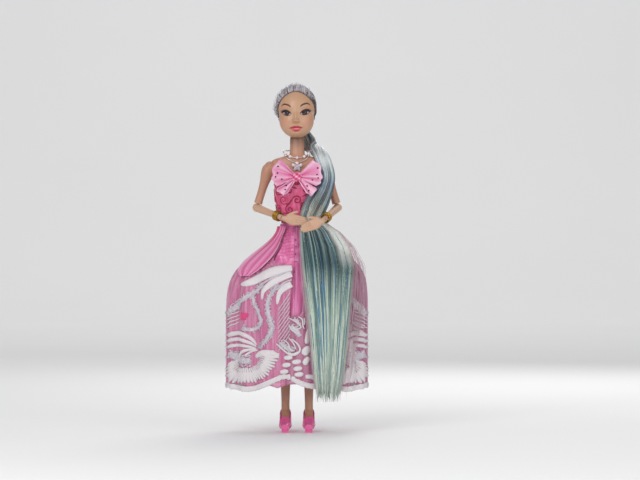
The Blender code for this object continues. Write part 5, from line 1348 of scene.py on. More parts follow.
def skirt_grid(first, last, drop, grow, layer, scallop, columns, rows, pleats):
    """Places on a skirt layer; first and last are angles, or give an angle for a height."""
    share = np.linspace(0, 1, rows)[:, None] ** 1.12
    level = SKIRT_TOP - share * drop
    begin, end = (np.asarray(one(level) if callable(one) else one, float) for one in (first, last))
    angle = begin + (end - begin) * np.linspace(0, 1, columns)[None]
    z = SKIRT_TOP - share * (drop - scallop * np.abs(np.cos(7 * angle)))
    return skirt_place(angle, z, grow, layer, 1.0, pleats)


# The hem's scallops; how far the underskirt hangs and stands out, and its seam; the ruching's period
SCALLOP, UNDER_DROP, UNDER_LAYER, SEAM_X, RUCHE = 0.0035, 0.0735, 0.875, -0.0021, 0.0026
# Height and place across of the overskirt's edges beside the gathered panel
RIGHT_EDGE = ((0.030, -0.0095), (0.070, -0.0080), (0.097, -0.0059), (0.1335, -0.0030), (0.1365, -0.0120),
              (0.139, -0.0188), (0.1435, -0.0184), (0.1517, -0.0136), (0.160, -0.0110), (0.168, -0.0089))
LEFT_EDGE = ((0.030, -0.0130), (0.070, -0.0115), (0.091, -0.0090), (0.0955, 0.0040), (0.115, 0.0057),
             (0.168, 0.0040))


def edge_angle(table):
    """The angle of an edge at each height, from a table of height and place across."""
    return lambda z: skirt_angle(looked_up(table, z)[0], z)


def build_skirt():
    """Net overskirt in two halves, and the satin underskirt with its gathered front panel."""
    for word, finish, bend, outward, first, last, grow in (
            ("right", net_finish, RIGHT_BEND, (-1.0, 0, 0), -math.pi, edge_angle(RIGHT_EDGE), 0.0007),
            ("left", net_mauve, LEFT_BEND, (1.0, 0, 0), edge_angle(LEFT_EDGE), math.pi, 0.0002)):
        grid = skirt_grid(first, last, DROP, grow, 1.0, SCALLOP, 190, 64, 0.00035)
        cloth(f"overskirt_net_{word}", grid, 0.0004, finish,
              (f"overskirt_front_{word}", f"overskirt_back_{word}"), bend, outward)

    def seam(z):
        return skirt_angle(SEAM_X, z)

    grid = skirt_grid(-math.pi, seam, UNDER_DROP, -0.0006, UNDER_LAYER, 0.0, 170, 120, 0.0003)
    high = np.clip((grid[..., 2] - 0.128) / 0.008, 0, 1)
    middle = np.clip((grid[..., 0] + 0.0150) / 0.002, 0, 1) * (grid[..., 1] < 0)
    ruche = np.sin(grid[..., 2] * 2 * math.pi / RUCHE + 1.5 * np.sin(grid[..., 0] * 420))
    grid[..., 1] -= 0.00055 * ruche * high * middle
    cloth("underskirt_satin_right", grid, 0.0003, satin_pink,
          ("underskirt_front",), RIGHT_BEND, (-1.0, 0, 0))
    grid = skirt_grid(seam, math.pi, UNDER_DROP, -0.0009, UNDER_LAYER, 0.0, 170, 60, 0.0003)
    cloth("underskirt_satin_left", grid, 0.0003, satin_magenta,
          ("underskirt_back",), LEFT_BEND, (1.0, 0, 0))


def dyed(share, *stops):
    """Colours for shares between stops of (share, red, green, blue)."""
    return linear(np.stack(looked_up(stops, share), axis=-1))


# How far down the skirt, and the sash's outer and inner edges as shares of the half width
DRAPE_ROWS = ((0.0, 0.99, 0.56), (0.0566, 0.99, 0.60), (0.119, 0.985, 0.50), (0.182, 0.98, 0.48),
              (0.232, 0.965, 0.53), (0.273, 0.93, 0.60), (0.310, 0.85, 0.70))


def build_sash():
    """The organza sash from the waist across to the doll's right, in long folds."""
    rows = eased(DRAPE_ROWS, 12)
    across = np.linspace(0, 1, 90)[None]
    z = SKIRT_TOP + 0.0006 - rows[:, 0:1] * DROP
    share = -(rows[:, 1:2] + (rows[:, 2:3] - rows[:, 1:2]) * across)
    angle = np.arcsin(np.copysign(np.abs(share) ** (ROUNDNESS / 2), share))
    crease = across * 3.3 + 0.25 * np.sin(rows[:, 0:1] * 9)
    ridge = np.abs(np.sin(math.pi * crease)) ** 0.7
    fine = 0.5 + 0.5 * np.cos(2 * math.pi * (across * 11.3 + rows[:, 0:1]))
    rim = peak(across, 0, 0.03) + peak(across, 1, 0.03)
    grid = skirt_place(angle, z, 0.0022 + 0.0011 * ridge + 0.00018 * fine + 0.0004 * rim, folds=0.0)
    # Painted light on the folds' ridges and rims and painted shade between them, then painted shade in deep
    # rose along the outer edge near the waist
    painted_fold_light = np.clip(0.25 + 0.65 * ridge + 0.16 * (fine - 0.5) + 0.3 * rim, 0, 1)
    tint = dyed(painted_fold_light, (0, 188, 60, 118), (0.35, 208, 90, 148), (0.75, 220, 118, 168), (1, 236, 166, 200))
    deep = np.clip(1 - across / 0.42, 0, 1) ** 0.35 * np.clip(1.15 - rows[:, 0:1] / 0.17, 0, 1)
    tint = toward((196, 22, 92), deep, tint)
    cloth("sash_organza", grid, 0.0004, sash_finish,
          ("side_drape",), RIGHT_BEND, (-1.0, -1.0, 0), tint)


def bodice_top(angle):
    """Height of the bodice's upper edge, lower at the sides."""
    return WAIST + CHEST_HIGH * (0.815 - 0.045 * (1 - np.cos(2 * angle)))


def build_bodice():
    """The strapless bodice, its swirls, the closure down the back and the waistband."""
    angle, down = np.linspace(0, 2 * math.pi, 161)[None, :-1], np.linspace(0, 1, 12)[:, None]
    low = BAND_TOP + 0.0003
    top = bodice_top(angle)
    share = np.linspace(0, 1, 44)[:, None]
    z = low + (top - low) * share
    hem = 0.0004 * peak(share, 1, 0.025)
    grid = body_place(angle, z, 0.0015 + hem)
    shape = shell(grid, 0.0008, out_of(grid), True)
    bodice = piece("bodice_brocade", shape, brocade_finish, "torso", ("bodice",))
    arc(grid, 1)
    arc(grid, 0)
    bulge = 0.0019 + 0.0004 * np.sin(np.linspace(0, math.pi, 12))[:, None] + 0.00018 * np.cos(70 * angle)
    grid = body_place(angle, BAND_TOP - 0.0026 * down, bulge)
    shape, long = shell(grid, 0.0012, out_of(grid), True), arc(grid, 1)
    band = piece("waistband_satin", shape, satin_pink, "torso", ("waistband",))
    angle = math.pi + (0.0030 / BUST_HALF) * np.linspace(-1, 1, 14)[None]
    z = low + (WAIST + CHEST_HIGH * 0.80 - low) * np.linspace(0.02, 0.97, 40)[:, None]
    grid = body_place(angle, z, 0.0026 + 0.0001 * np.cos(80 * np.linspace(0, 1, 40))[:, None])
    cloth("closure_tape", grid, 0.0006, satin_magenta,
          ("back_closure",), outward=BACKWARDS)
    build_swirls()


def build_swirls():
    """Raised rose scrolls of the brocade, all round the bodice: spirals with curling leaves between."""
    paths, turn = [], np.linspace(0, 1, 48)
    rows, columns = 5, 9
    for row in range(rows):
        for col in range(columns):
            s = (col + 0.5 * (row % 2) + chance.uniform(-0.08, 0.08)) * 2 * math.pi / columns
            z = BAND_TOP + 0.0042 + row * 0.0076 + chance.uniform(-0.0005, 0.0005)
            size = chance.uniform(0.0033, 0.0038)
            spin = 1 if (row + col) % 2 else -1
            phase = chance.uniform(0, 6.28)
            winding = phase + spin * turn * 2 * math.pi * 1.45
            reach = size * (1 - 0.86 * turn)
            paths.append((s, reach * np.cos(winding), z + reach * np.sin(winding)))
            for begin, bend in ((0.0, 0.55), (2.3, 0.75)):
                tail = phase + begin - spin * bend * turn
                away = size * (1.0 + 0.75 * turn ** 1.4)
                paths.append((s, away * np.cos(tail), z + away * np.sin(tail)))
    made = []
    for s, across, z in paths:
        angle = s + across / looked_up(BODY, z)[0]
        made.append(body_place(angle, np.clip(z, BAND_TOP + 0.0009, bodice_top(angle) - 0.0008), 0.00162))
    thin = np.interp(turn, (0, 0.1, 0.8, 1), (0.8, 1, 1, 0.7))
    shape = tube_points(np.array(made), (0.00058 * thin)[None], 6, 0.8, (0.1, 0.2, 1.0))
    piece("brocade_swirls", shape, swirl_finish, "torso", ())


BOW_AT = np.array((0.0, -0.0191, WAIST + 0.845 * CHEST_HIGH))
# First and last direction in degrees, first and last share of the reach, and number of folds
LOOP = (47.0, -25.0, 1.0, 0.94, 2.5)
TAIL = (-31.0, -60.0, 0.97, 0.84, 1.2)
BOW_REACH, BOW_ROOT, BOW_FOLD = 0.0208, 0.0034 * 0.45, 0.0013


def bow_crease(side, folds, across):
    """1 on the ridges of a bow piece's folds, -1 in its creases."""
    return np.cos(2 * math.pi * folds * (across + 0.05 * np.sin(7 * across + side)) + 0.8 * side)


def bow_place(side, shares, across, out):
    """Places on a bow piece: across from its first direction to its last, out from the knot."""
    first, last, first_reach, last_reach, folds = shares
    soft = 0.10 * (peak(across, 0, 0.12) + peak(across, 1, 0.12))
    angle = np.radians(first + (last - first) * across)
    far = BOW_REACH * (first_reach + (last_reach - first_reach) * across) * (1 - soft)
    far = far * (1.0 + 0.035 * np.cos(2 * math.pi * across * folds * 1.3 + 0.6 * side))
    radius = BOW_ROOT + (far - BOW_ROOT) * out
    wave = BOW_FOLD * out ** 0.8 * bow_crease(side, folds, across) - BOW_FOLD * out
    angle = angle + 0.05 * np.sin(9 * across) * out - 0.06 * out ** 2 * np.sin(math.pi * across)
    return BOW_AT + np.stack([side * radius * np.cos(angle), wave, radius * np.sin(angle)], axis=-1)


def bow_tint(side, shares, across, out):
    """Painted light along the folds' ridges and the rims, painted shade in deep rose in the creases by the
    knot.
    """
    painted_fold_light = 0.56 - 0.30 * bow_crease(side, shares[4], across) * (0.35 + 0.65 * (1 - out)) + 0.16 * out
    painted_fold_light = painted_fold_light - 0.42 * (1 - out) ** 2.5 + 0.4 * peak(out, 1, 0.06)
    return dyed(np.clip(painted_fold_light, 0, 1), (0, 204, 66, 118), (0.35, 226, 122, 168), (0.65, 238, 166, 200),
                (1, 250, 212, 228))


def build_bow():
    """A full organza bow: loops that fold back on themselves, tails, a gathered knot and sequins."""
    sequins = []
    for word, side in SIDES:
        for kind, shares in (("loop", LOOP), ("tail", TAIL)):
            down, across = np.meshgrid(np.linspace(0, 1, 40), np.linspace(0, 1, 56), indexing="ij")
            out = np.sin(math.pi * down) if kind == "loop" else down
            grid = bow_place(side, shares, across, out)
            if kind == "loop":
                grid[..., 1] -= 0.0010 * np.cos(math.pi * down) * np.clip(out, 0, 1) ** 0.4
            cloth(f"bow_{kind}_organza_{word}", grid, 0.00025, organza_finish,
                  (f"bow_{kind}_{word}",), tint=bow_tint(side, shares, across, out))
            share = np.linspace(0, 1, 50)
            rims = [bow_place(side, shares, share, np.full(50, 0.995))]
            seams = ((0.0, 0.12, 1), (1.0, 0.12, 1), (0.36, 0.30, 0.98), (0.68, 0.30, 0.98))
            for edge, near, far in seams if kind == "loop" else seams[:2]:
                rims.append(bow_place(side, shares, np.full(50, edge), np.linspace(near, far, 50)))
            rims = np.array(rims) - np.array((0, 0.0004, 0))
            shape = tube_points(rims, np.full((len(rims), 50), 0.00040), 6, 1.0, (0.1, 1.0, 0.2))
            piece(f"bow_{kind}_edge_{word}", shape, edge_finish, "torso", ())
            spots = (((0.28, 0.86), (0.47, 0.80), (0.62, 0.84), (0.80, 0.62)) if kind == "loop"
                     else ((0.46, 0.74), (0.30, 0.55)))
            for place, far in spots:
                at = bow_place(side, shares, np.array(place + 0.03 * side), np.array(far))
                sequins.append((at + FORWARDS * (0.0013 if kind == "loop" else 0.0004), 0.00066))
    build_knot()
    build_sequins("bow_sequins", sequins, "torso")


def build_knot():
    """The bow's gathered knot."""
    down, around = np.meshgrid(np.linspace(-1, 1, 61), np.linspace(0, 2 * math.pi, 97)[:-1], indexing="ij")
    swirl = np.cos(around * 3 + 5.0 * down) + 0.6 * np.cos(around * 5 - 7 * down + 1)
    reach = np.sqrt(np.clip(1 - (down * 0.99) ** 2, 0.0, 1)) ** 0.8 * (1 + 0.10 * swirl)
    knot = BOW_AT + np.stack([0.0037 * reach * np.sin(around), -0.0026 * reach * np.cos(around) - 0.0008,
                              0.0038 * down + 0 * around], axis=-1)
    # Painted light on the ridges of the swirled folds and painted shade between them
    painted_fold_light = np.append(np.clip(0.45 + 0.34 * swirl, 0, 1).ravel(), (0.5, 0.5))
    tint = dyed(painted_fold_light, (0, 196, 40, 96), (0.4, 222, 98, 146), (0.8, 236, 150, 182), (1, 248, 198, 214))
    piece("bow_knot_organza", closed_loft(knot), knot_finish, "torso", ("bow_knot",), tint)


def build_sequins(name, spots, body, blend=None):
    """Round sequins at given places, facing forwards and dished."""
    rings = ((0.25, 0.10), (0.85, 0.16), (1.0, 0.05), (1.0, -0.15), (0.3, -0.15))
    form = np.array([[(wide * math.cos(t), -lift, wide * math.sin(t)) for t in full_turn(12)]
                     for wide, lift in rings])
    shape = gathered([closed_loft(place + size * form) for place, size in spots])
    piece(name, shape, sequin_finish, body, (), blend=blend)


net_finish = net("skirt net", shade(206, 114, 158), shade(236, 176, 204), 0.64)
net_mauve = net("skirt net mauve", shade(184, 108, 144), shade(212, 156, 182), 0.66)
satin_pink = satin("satin pink", shade(228, 128, 178), shade(242, 166, 204), shade(208, 98, 152))
satin_magenta = satin("satin magenta", shade(228, 136, 184), shade(238, 160, 200), shade(206, 104, 156))
sash_finish = tinted("sash organza", 0.34, 0.95, 0.12, 0.5)
organza_finish = tinted("bow organza", 0.36, 0.93, 0.5, 0.5)
knot_finish = tinted("bow knot", 0.34, 1.0, 0.2, 0.5)
edge_finish = satin("bow edge", shade(238, 178, 206), shade(250, 216, 230), shade(224, 140, 178))
brocade_finish = satin("brocade ground", shade(222, 98, 142), shade(234, 130, 168), shade(200, 70, 116), 0.36)
swirl_finish = satin("brocade swirl", shade(176, 22, 80), shade(202, 52, 106), shade(130, 12, 54), 0.36)
sequin_finish = metal("sequin", shade(96, 14, 56), shade(30, 4, 20), 0.2)
build_bodice()
build_skirt()
build_sash()
build_bow()


# Embroidery: each leaf or stroke is a spine and a half width, measured on the picture

def seen_at(seen, grow, behind=False):
    """Places on the skirt's front where the picture shows them, or straight behind."""
    near = 1.0
    for _ in range(3):
        x = camera.location.x + (seen[..., 0] - PICTURE_WIDE / 2) * PIXEL * near
        z = camera.location.z + (PICTURE_HIGH / 2 - seen[..., 1]) * PIXEL * near
        near = 1 - front_deep(x, z, 0.0) / DISTANCE
    angle = skirt_angle(np.clip(x, -SKIRT_HALF * 0.999, SKIRT_HALF * 0.999), z)
    return skirt_place(np.copysign(math.pi, angle) - angle if behind else angle, z, grow)


def leaf(wide, points, blunt, puff=1.0, top=0.96, steps=5, columns=8):
    """A sewn leaf as pixels and heights: pointed where blunt is high, cut square where top is low."""
    spine = eased(points, steps)
    along = units(np.gradient(spine, axis=0))
    side = np.stack([-along[:, 1], along[:, 0]], axis=-1)
    share, across = np.linspace(0, 1, len(spine)), np.linspace(-1, 1, columns)
    half = np.sin(math.pi * (0.02 + top * share)) ** blunt
    grid = spine[:, None] + side[:, None] * (wide * half[:, None] * across[None])[..., None]
    return grid, puff * half[:, None] * np.sqrt(1 - 0.97 * across[None] ** 2)


def knotted(points, wide, count):
    """Small curled stitches that fill a band along a line."""
    line = eased(points, 12)
    along = units(np.gradient(line, axis=0))
    made = [leaf(wide * 0.6, points, 0.25, 0.2)]
    for number in range(count):
        at = min(int((number + 0.5) / count * len(line)), len(line) - 1)
        turn = math.atan2(along[at][1], along[at][0]) + chance.uniform(-1.2, 1.2)
        way, side = np.array((math.cos(turn), math.sin(turn))), np.array((-along[at][1], along[at][0]))
        place = line[at] + side * wide * chance.uniform(-1, 1)
        bow = np.array((-way[1], way[0])) * chance.uniform(-0.5, 0.5)
        made.append(leaf(0.42, (place - way * 1.1, place + bow, place + way * 1.1), 0.4,
                         chance.uniform(0.45, 1.0), 0.96, 2, 5))
    return made


FLOWER_AT = (246.5, 356)
# Turn in degrees and how far the open flower's edge is from its centre
FLOWER = ((-13, 24), (-7, 31.8), (1, 33.7), (11, 31), (21, 31), (32, 28.7), (41, 29.6), (51, 28.9),
          (65, 27.3), (73, 28.7), (85, 25.9), (97, 27), (111, 28.8), (121, 30), (130, 28.3), (142, 24),
          (155, 19.5))


def open_flower():
    """Lobes round the big flower's edge, with short spikes pointing to its centre."""
    made = [leaf(3.4, ((255.5, 357), (262, 353.6), (271, 353.2), (279, 356.5)), 0.4)]
    step = 6.2
    for turn in np.arange(-10, 156, step):
        for offset, near, far, wide, puff in ((0.0, 0.60, 1.0, 1.48, 1.0), (step / 2, 0.43, 0.84, 0.85, 0.8)):
            bent = math.radians(turn + offset)
            reach = looked_up(FLOWER, turn + offset)[0] * (0.97 + 0.06 * chance.random())
            way = np.array((math.cos(bent), math.sin(bent)))
            spots = [FLOWER_AT + way * reach * share for share in (near, (near + far) / 2, far)]
            made.append(leaf(wide, spots, 0.4, puff, 0.96, 4, 7))
    return made


def pebbles(*places):
    """Short plump leaves that lie across."""
    return [leaf(2.5, ((x - 4.4, y + 0.4), (x, y), (x + 4.4, y - 0.6)), 0.5, 0.8) for x, y in places]


def white_work():
    """White leaves, petals, curls and the hem of the right half, in pixels of the picture."""
    made = [leaf(4.7, ((241, 284.4), (250.8, 282.7), (262.4, 276.6), (274, 271.6), (283.5, 269.2),
                       (292.3, 267.9)), 0.6, 1.0, 0.88),
            leaf(3.4, ((263.2, 299.4), (264.2, 292), (268.6, 286.6), (275, 281.5), (283, 277.3),
                       (292, 273.8)), 0.6, 1.0, 0.62),
            leaf(3.5, ((277, 304.3), (279.4, 293.5), (284.6, 288), (291.6, 284)), 0.6, 1.0, 0.55)]
    for wide, spots in ((2.3, ((256.5, 344.8), (249, 336.4), (239, 333.0), (228.6, 335.8))),
                        (2.0, ((256.5, 346.8), (248, 341.6), (238, 339.0), (228.4, 341.5))),
                        (1.8, ((256, 348.6), (247, 346), (237, 345.2), (228.4, 347.4))),
                        (1.7, ((257, 349.6), (250, 349.6), (243.6, 352.2), (239.6, 356.8))),
                        (1.0, ((258, 350.4), (252, 351.4), (247, 355.6)))):
        made.append(leaf(wide, spots, 0.5, 1.0, 0.66))
    made += [leaf(0.6, ((227.2, 313 + 3.8 * k), (233, 310.6 + 3.7 * k), (239.6, 307.6 + 3.5 * k)), 0.3, 0.6,
                  0.96, 4, 6) for k in range(5)]
    for wide, spots in ((1.1, ((276.2, 343.6), (282.3, 349.2), (288.7, 353.7), (295, 354.8), (299.8, 350.4),
                               (298.1, 344.5), (291.8, 338.9))),
                        (0.75, ((283.4, 339.7), (288.7, 343.9), (290.8, 350.2), (295, 350.8))),
                        (0.75, ((288.7, 337.6), (293.4, 342.9), (296, 349.2))),
                        (0.7, ((279, 342), (284, 347), (288, 350.6))),
                        (1.6, ((287, 352.9), (293, 354.6), (299, 351.9)))):
        made.append(leaf(wide, spots, 0.25, 0.9, 0.96, 4, 6))
    made += pebbles((288.3, 357.6), (286.5, 365), (284.2, 371.8)) + open_flower()
    return made + hem_work(((226.5, 384), (236, 387), (248, 389), (257, 387.5), (267, 384), (275, 380),
                            (282.4, 377), (289, 376.8)))


def hem_work(points):
    """A thick band along the hem, with small lobes on its edge."""
    line = eased(points, 8)
    along = np.concatenate([[0], np.cumsum(np.linalg.norm(np.diff(line, axis=0), axis=-1))])
    made = [leaf(2.7, points, 0.15, 0.7)]
    for far in np.arange(2.5, along[-1], 5.2):
        at = np.array([np.interp(far, along, line[:, col]) for col in (0, 1)])
        made.append(leaf(2.2, (at + (0, -2.6), at + (0.4, 0), at + (0, 2.9)), 0.35, 0.8, 0.96, 4))
    return made


def silver_work():
    """Silver stems, curled bands and the slanting threads of the right half."""
    made = [leaf(0.55, ((292.3, 270.4), (278, 275.4), (266, 282.3), (257, 288)), 0.3, 1.3),
            leaf(0.5, ((292, 279.6), (283, 284.0), (277, 290)), 0.3, 1.3)]
    made += knotted(((264, 284.6), (255, 292), (246.6, 298), (239.2, 303.4), (235, 309), (229.7, 314.5)), 3.3,
                    150)
    made += knotted(((253, 294.5), (254, 303), (257, 309.5), (260.4, 316.5), (261.2, 323), (257, 328),
                     (249.7, 330.3), (245, 327)), 2.5, 110)
    made += knotted(((278, 284.5), (274, 290.2), (269.7, 298.7), (268.7, 307), (270.2, 317.5), (272.4, 326),
                     (270.8, 334.4), (266.6, 341), (260, 348)), 2.6, 210)
    made += knotted(((230.5, 353), (237, 357), (244, 360.5), (251, 360.5)), 5.6, 130)
    made += knotted(((280, 343), (286, 347), (293, 351)), 3.6, 46)
    return made + [leaf(0.5, ((290.2, 292.6 + 4.6 * k), (284.5, 301 + 4.6 * k), (277.6, 310.4 + 4.6 * k)),
                        0.25, 0.4, 0.96, 4, 6) for k in range(10)]


def left_work():
    """What is sewn on the left half, beside the gathered panel and beyond the hair."""
    white = [leaf(3.0, ((306.6, 344), (307.8, 338), (309, 328.5)), 0.4),
             leaf(4.2, ((303.2, 355), (306, 351), (310.5, 347.5)), 0.4),
             leaf(3.2, ((303, 364), (306, 361.5), (309, 357)), 0.4)]
    white += pebbles((296.6, 361.8), (297.8, 368.6), (298.9, 374.4))
    curls = (((288.9, 318.1), (293.4, 320.2), (299.2, 323.9), (300.6, 327.6), (295, 329.2), (292.3, 324.4)),
             ((298.1, 316.5), (302.3, 319.7), (302.9, 326), (304.4, 328.7)),
             ((288.9, 324.4), (291.4, 329.2), (295.4, 332.3), (298.6, 334)),
             ((304, 317.6), (304.6, 321), (304.4, 325)), ((352.9, 302), (357, 307.5), (361, 314)),
             ((357, 302.5), (360, 307), (363, 312.5)), ((351, 322), (356, 324.5), (361.5, 328)),
             ((351.5, 326.5), (356, 329), (361, 331.5)), ((352.5, 331), (356, 332.8), (359.5, 334.4)))
    white += [leaf(0.85, spots, 0.25, 0.9, 0.96, 4, 6) for spots in curls]
    for centre, turns, reach in (((343.5, 352.5), np.arange(-75, 61, 19), 13.5),
                                 ((343.5, 366.5), np.arange(-25, 76, 19), 11.5)):
        for turn in np.radians(turns):
            way = np.array((math.cos(turn), math.sin(turn)))
            spots = [centre + way * reach * share for share in (0.35, 0.7, 1.0)]
            white.append(leaf(2.1, spots, 0.5, 1.0, 0.8, 4))
    white += hem_work(((291, 377.6), (297, 381.4), (303, 384), (310, 386), (322, 386.5), (335, 384.5),
                       (344, 381), (355, 377), (366, 371.5)))
    silver = (knotted(((291, 326), (297, 331), (300, 336)), 3.4, 30)
              + knotted(((294, 318.5), (298, 322), (299, 326)), 2.0, 16))
    return white, silver + knotted(((346, 352.5), (350, 358), (350, 366)), 3.0, 24)


# How far a sewn leaf of height 1 stands up
PUFF = 0.0009


def sew(name, work, finish, right, mirror=False, behind=False):
    """Sew leaves on one half of the overskirt; mirror turns them over from the other half's side."""
    parts = []
    base = 0.0010 if right else 0.0005
    for seen, height in work:
        if mirror:
            seen = (2 * AXIS_PIXEL, 0) + seen * (-1, 1)
        grid = seen_at(seen, base + PUFF * height, behind)
        parts.append(shell(grid, 0.00030 + PUFF * height, out_of(grid)))
    piece(name, gathered(parts), finish, None, (), blend=RIGHT_BEND if right else LEFT_BEND)


# The pixel up to which the left half's front shows the right half's embroidery turned over
HAIR_EDGE = 266


def build_embroidery():
    """Sew both halves of the overskirt, front and back."""
    white, silver = white_work(), silver_work()
    left_white, left_silver = left_work()
    for word, right in (("right", True), ("left", False)):
        sew(f"sewn_leaves_back_{word}", white, white_thread, right, not right, True)
        sew(f"sewn_stems_back_{word}", silver, silver_thread, right, not right, True)
    sew("sewn_leaves_right", white, white_thread, True)
    sew("sewn_stems_right", silver, silver_thread, True)
    for name, work, finish in (("leaves", white, white_thread), ("stems", silver, silver_thread)):
        shown = [one for one in work if one[0][..., 0].mean() < HAIR_EDGE]
        sew(f"sewn_{name}_left", shown, finish, False, True)
    sew("sewn_edge_left", left_white, white_thread, False)
    sew("sewn_edge_stems_left", left_silver, silver_thread, False)
    pink = [leaf(2.8, ((239.5, 318.6), (244, 316), (249.5, 314.6)), 0.4, 0.4),
            leaf(2.0, ((241, 313), (245, 316), (247, 320)), 0.4, 0.5)]
    sew("sewn_knot_pink", pink, pink_thread, True)
    spots = ((295.8, 240), (296.0, 246.5), (295.6, 254), (296.1, 261.5), (294.3, 272))
    made = [(seen_at(np.array(at), 0.0002) + FORWARDS * 0.0003, 0.0005) for at in spots]
    build_sequins("panel_sequins", made, None, RIGHT_BEND)


white_thread = stitched("white thread", shade(206, 198, 202), shade(230, 225, 226), 0.7)
silver_thread = stitched("silver thread", shade(190, 180, 190), shade(228, 222, 228), 0.5, 0.1)
pink_thread = stitched("pink thread", shade(200, 36, 104), shade(222, 80, 140), 0.5)
build_embroidery()


# Pearls, cord and pendant

def chest_front(x, z, grow):
    """How far forward the skin is at x, z."""
    half, front = (size + grow for size in looked_up(BODY, z)[:2])
    return -front * np.sqrt(np.clip(1 - (x / half) ** 2, 0, 1))


STRAND_HALF, STRAND_DEEP = 0.0098, 0.0093
PEARL, PENDANT_PEARL, CENTRE_PEARL = 0.00122, 0.00135, 0.0008
PETAL_LONG, PETAL_HALF = 0.0040, 0.0015
# How far the longer thread hangs below the strand, and the pendant's middle below the thread's end
THREAD_DROP, PENDANT_DROP = 0.0044, 0.0028


def strand_at(turn):
    """Places on the short strand round the neck; turn 0 is in front."""
    x = STRAND_HALF * np.sin(turn) * np.where(np.cos(turn) > 0, 1.0, np.abs(np.sin(turn)) ** 0.5)
    z = SHOULDER + NECK_HIGH * 0.58 - np.where(np.cos(turn) > 0, 0.0054, 0.0012) * np.cos(turn)
    near = np.clip((np.cos(turn) - 0.2) / 0.6, 0, 1)
    y = chest_front(x, z, 0.0014) * near - np.cos(turn) * STRAND_DEEP * (1 - near)
    return np.stack([x, y, z], axis=-1)


def ring_tube(path, radius):
    """A closed ring of cord along a closed path."""
    along = units(np.roll(path, -1, axis=0) - np.roll(path, 1, axis=0))
    side = units(np.cross(along, (0.02, 0.03, 1.0)))
    turn = full_turn(10)
    ring = (side[:, None] * np.cos(turn)[None, :, None]
            + np.cross(side, along)[:, None] * np.sin(turn)[None, :, None])
    return closed_ring(path[:, None] + ring * radius[:, None, None])


def bead(centre, radius):
    """A moulded bead with a faint seam."""
    rise = np.linspace(-1.45, 1.45, 15)[:, None]
    around = full_turn(20)[None]
    reach = radius * (1 + 0.02 * peak(rise, 0, 0.08))
    return closed_loft(centre + np.stack([reach * np.cos(rise) * np.cos(around),
                                          reach * np.cos(rise) * np.sin(around),
                                          reach * np.sin(rise) + 0 * around], axis=-1))


def build_necklaces():
    """The short strand with five pearls, and the longer thread down to the pendant."""
    turn = full_turn(160)
    strand = strand_at(turn)
    twist = 0.0004 * (1 + 0.12 * np.cos(turn * 90))
    piece("strand_thread", ring_tube(strand, twist), chain_finish, "torso", ())
    parts = [bead(strand_at(np.array(number * math.radians(36))), PEARL) for number in range(-2, 3)]
    piece("strand_pearls", gathered(parts), pearl_finish, "torso", ("pearl_strand",))
    bottom = strand_at(np.array(0.0))[2] - THREAD_DROP
    low = np.where(np.cos(turn) > 0, (1 - np.abs(np.sin(turn))) ** 0.8, 0.0)
    x = strand[:, 0] * 1.16
    above = strand[:, 2] + 0.0004
    z = above - (above - bottom) * low
    y = np.where(low < 0.02, strand[:, 1] * (1 + 0.0018 / STRAND_HALF),
                 np.minimum(chest_front(x, z, 0.0007), strand[:, 1] * (1 - low)))
    shape = ring_tube(np.stack([x, y - 0.0004, z], axis=-1), 0.00038 * (1 + 0.15 * np.cos(turn * 110)))
    piece("pendant_thread", shape, chain_finish, "torso", ("pendant_cord",))
    middle = bottom - PENDANT_DROP
    centre = np.array((0.0, chest_front(0.0, middle, 0.0018), middle))
    parts = []
    share, across = np.linspace(0.06, 1, 12)[:, None], np.linspace(-1, 1, 9)[None]
    half = PETAL_HALF * np.sin(math.pi * share) ** 0.5 * (1 - 0.25 * share)
    arch = 0.00035 + 0.00035 * np.sqrt(1 - 0.98 * across ** 2) * np.sin(share * 2.8)
    for number in range(5):
        turned = math.radians(90 + 72 * number)
        way = np.array((math.cos(turned), 0, math.sin(turned)))
        side = np.array((-way[2], 0, way[0]))
        grid = (centre + way * (share * PETAL_LONG)[..., None] + side * (half * across)[..., None]
                + FORWARDS * arch[..., None])
        parts.append(shell(grid, 0.0006, FORWARDS))
    piece("pendant_petals", gathered(parts), petal_finish, "torso", ("pendant",))
    spots = [centre + np.array((x * 0.0031, -0.0006, z * 0.0027))
             for x, z in ((-1.0, 0.45), (0.0, 1.0), (1.0, 0.45))]
    parts = [bead(spot, PENDANT_PEARL) for spot in spots] + [bead(centre + FORWARDS * 0.0009, CENTRE_PEARL)]
    piece("pendant_pearls", gathered(parts), pearl_finish, "torso", ())


pearl_finish = pearl("pearl", shade(226, 212, 214), shade(246, 238, 240))
chain_finish = metal("silver chain", shade(226, 216, 216), shade(176, 160, 164), 0.3)
petal_finish = satin("pendant petal", shade(218, 208, 218), shade(242, 238, 242), shade(180, 164, 180), 0.2)
build_necklaces()


# Floor and light

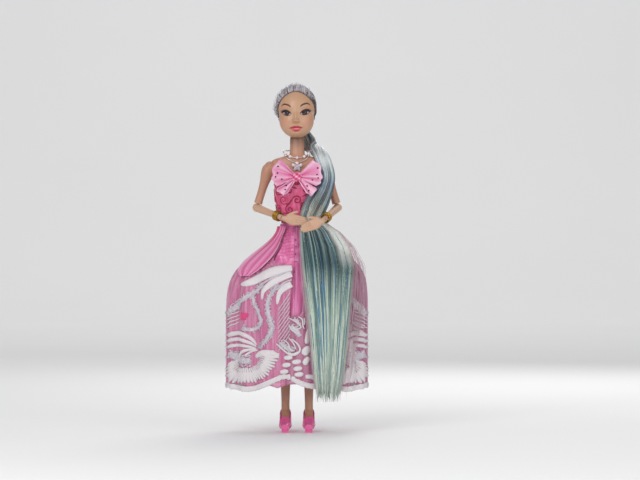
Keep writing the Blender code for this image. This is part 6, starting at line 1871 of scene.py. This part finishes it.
# How far the floor comes forwards, where it starts to bend up, where its wall stands and how high it is, and
# its half width
FLOOR_FRONT, FLOOR_FLAT, FLOOR_END, WALL_HIGH, FLOOR_HALF = 7.0, 2.8, 4.0, 7.0, 8.0
# Each lamp's place, power in watts, size, and the y at which it is aimed
LAMPS = (("key", (-0.5, -1.05, 0.68), 6.6, 0.7, 0), ("fill", (0.75, -0.9, 0.36), 3.3, 0.8, 0),
         ("rim", (0.3, 0.8, 0.7), 3.2, 0.6, 0), ("backdrop", (0, 2.3, 3.2), 34.0, 2.5, 4.2))


def build_studio():
    """A pale floor that curves up into a wall behind, and broad soft lamps."""
    finish = Finish("studio paper", 0.9)
    cloud = finish.noise(finish.place(), 3.0)
    finish.feed(Base_Color=finish.mix(cloud, shade(240, 240, 240), shade(244, 244, 244)))
    bend = FLOOR_END - FLOOR_FLAT
    line = [(-FLOOR_FRONT, 0.0), (FLOOR_FLAT, 0.0)]
    line += [(FLOOR_FLAT + bend * math.sin(t), bend - bend * math.cos(t)) for t in np.linspace(0.1, 1.47, 14)]
    line.append((FLOOR_END, WALL_HIGH))
    points = [(x, y, z) for y, z in line for x in (-FLOOR_HALF, FLOOR_HALF)]
    mesh = quad_mesh("floor", points, grid_quads(len(line), 2))
    mesh.materials.append(finish.material)
    floor = bpy.data.objects.new("floor", mesh)
    bpy.context.scene.collection.objects.link(floor)
    world = bpy.data.worlds.new("soft room")
    bpy.context.scene.world = world
    world.use_nodes = True
    back = world.node_tree.nodes["Background"]
    back.inputs["Color"].default_value = (0.93, 0.93, 0.95, 1.0)
    back.inputs["Strength"].default_value = 0.5
    for name, place, power, size, at in LAMPS:
        lamp = bpy.data.lights.new(name, "AREA")
        lamp.energy, lamp.size = power, size
        light = bpy.data.objects.new(name, lamp)
        light.location = place
        aim = Vector((0, at, 0.16 + at * 0.2)) - Vector(place)
        light.rotation_euler = aim.to_track_quat("-Z", "Y").to_euler()
        bpy.context.scene.collection.objects.link(light)


build_studio()
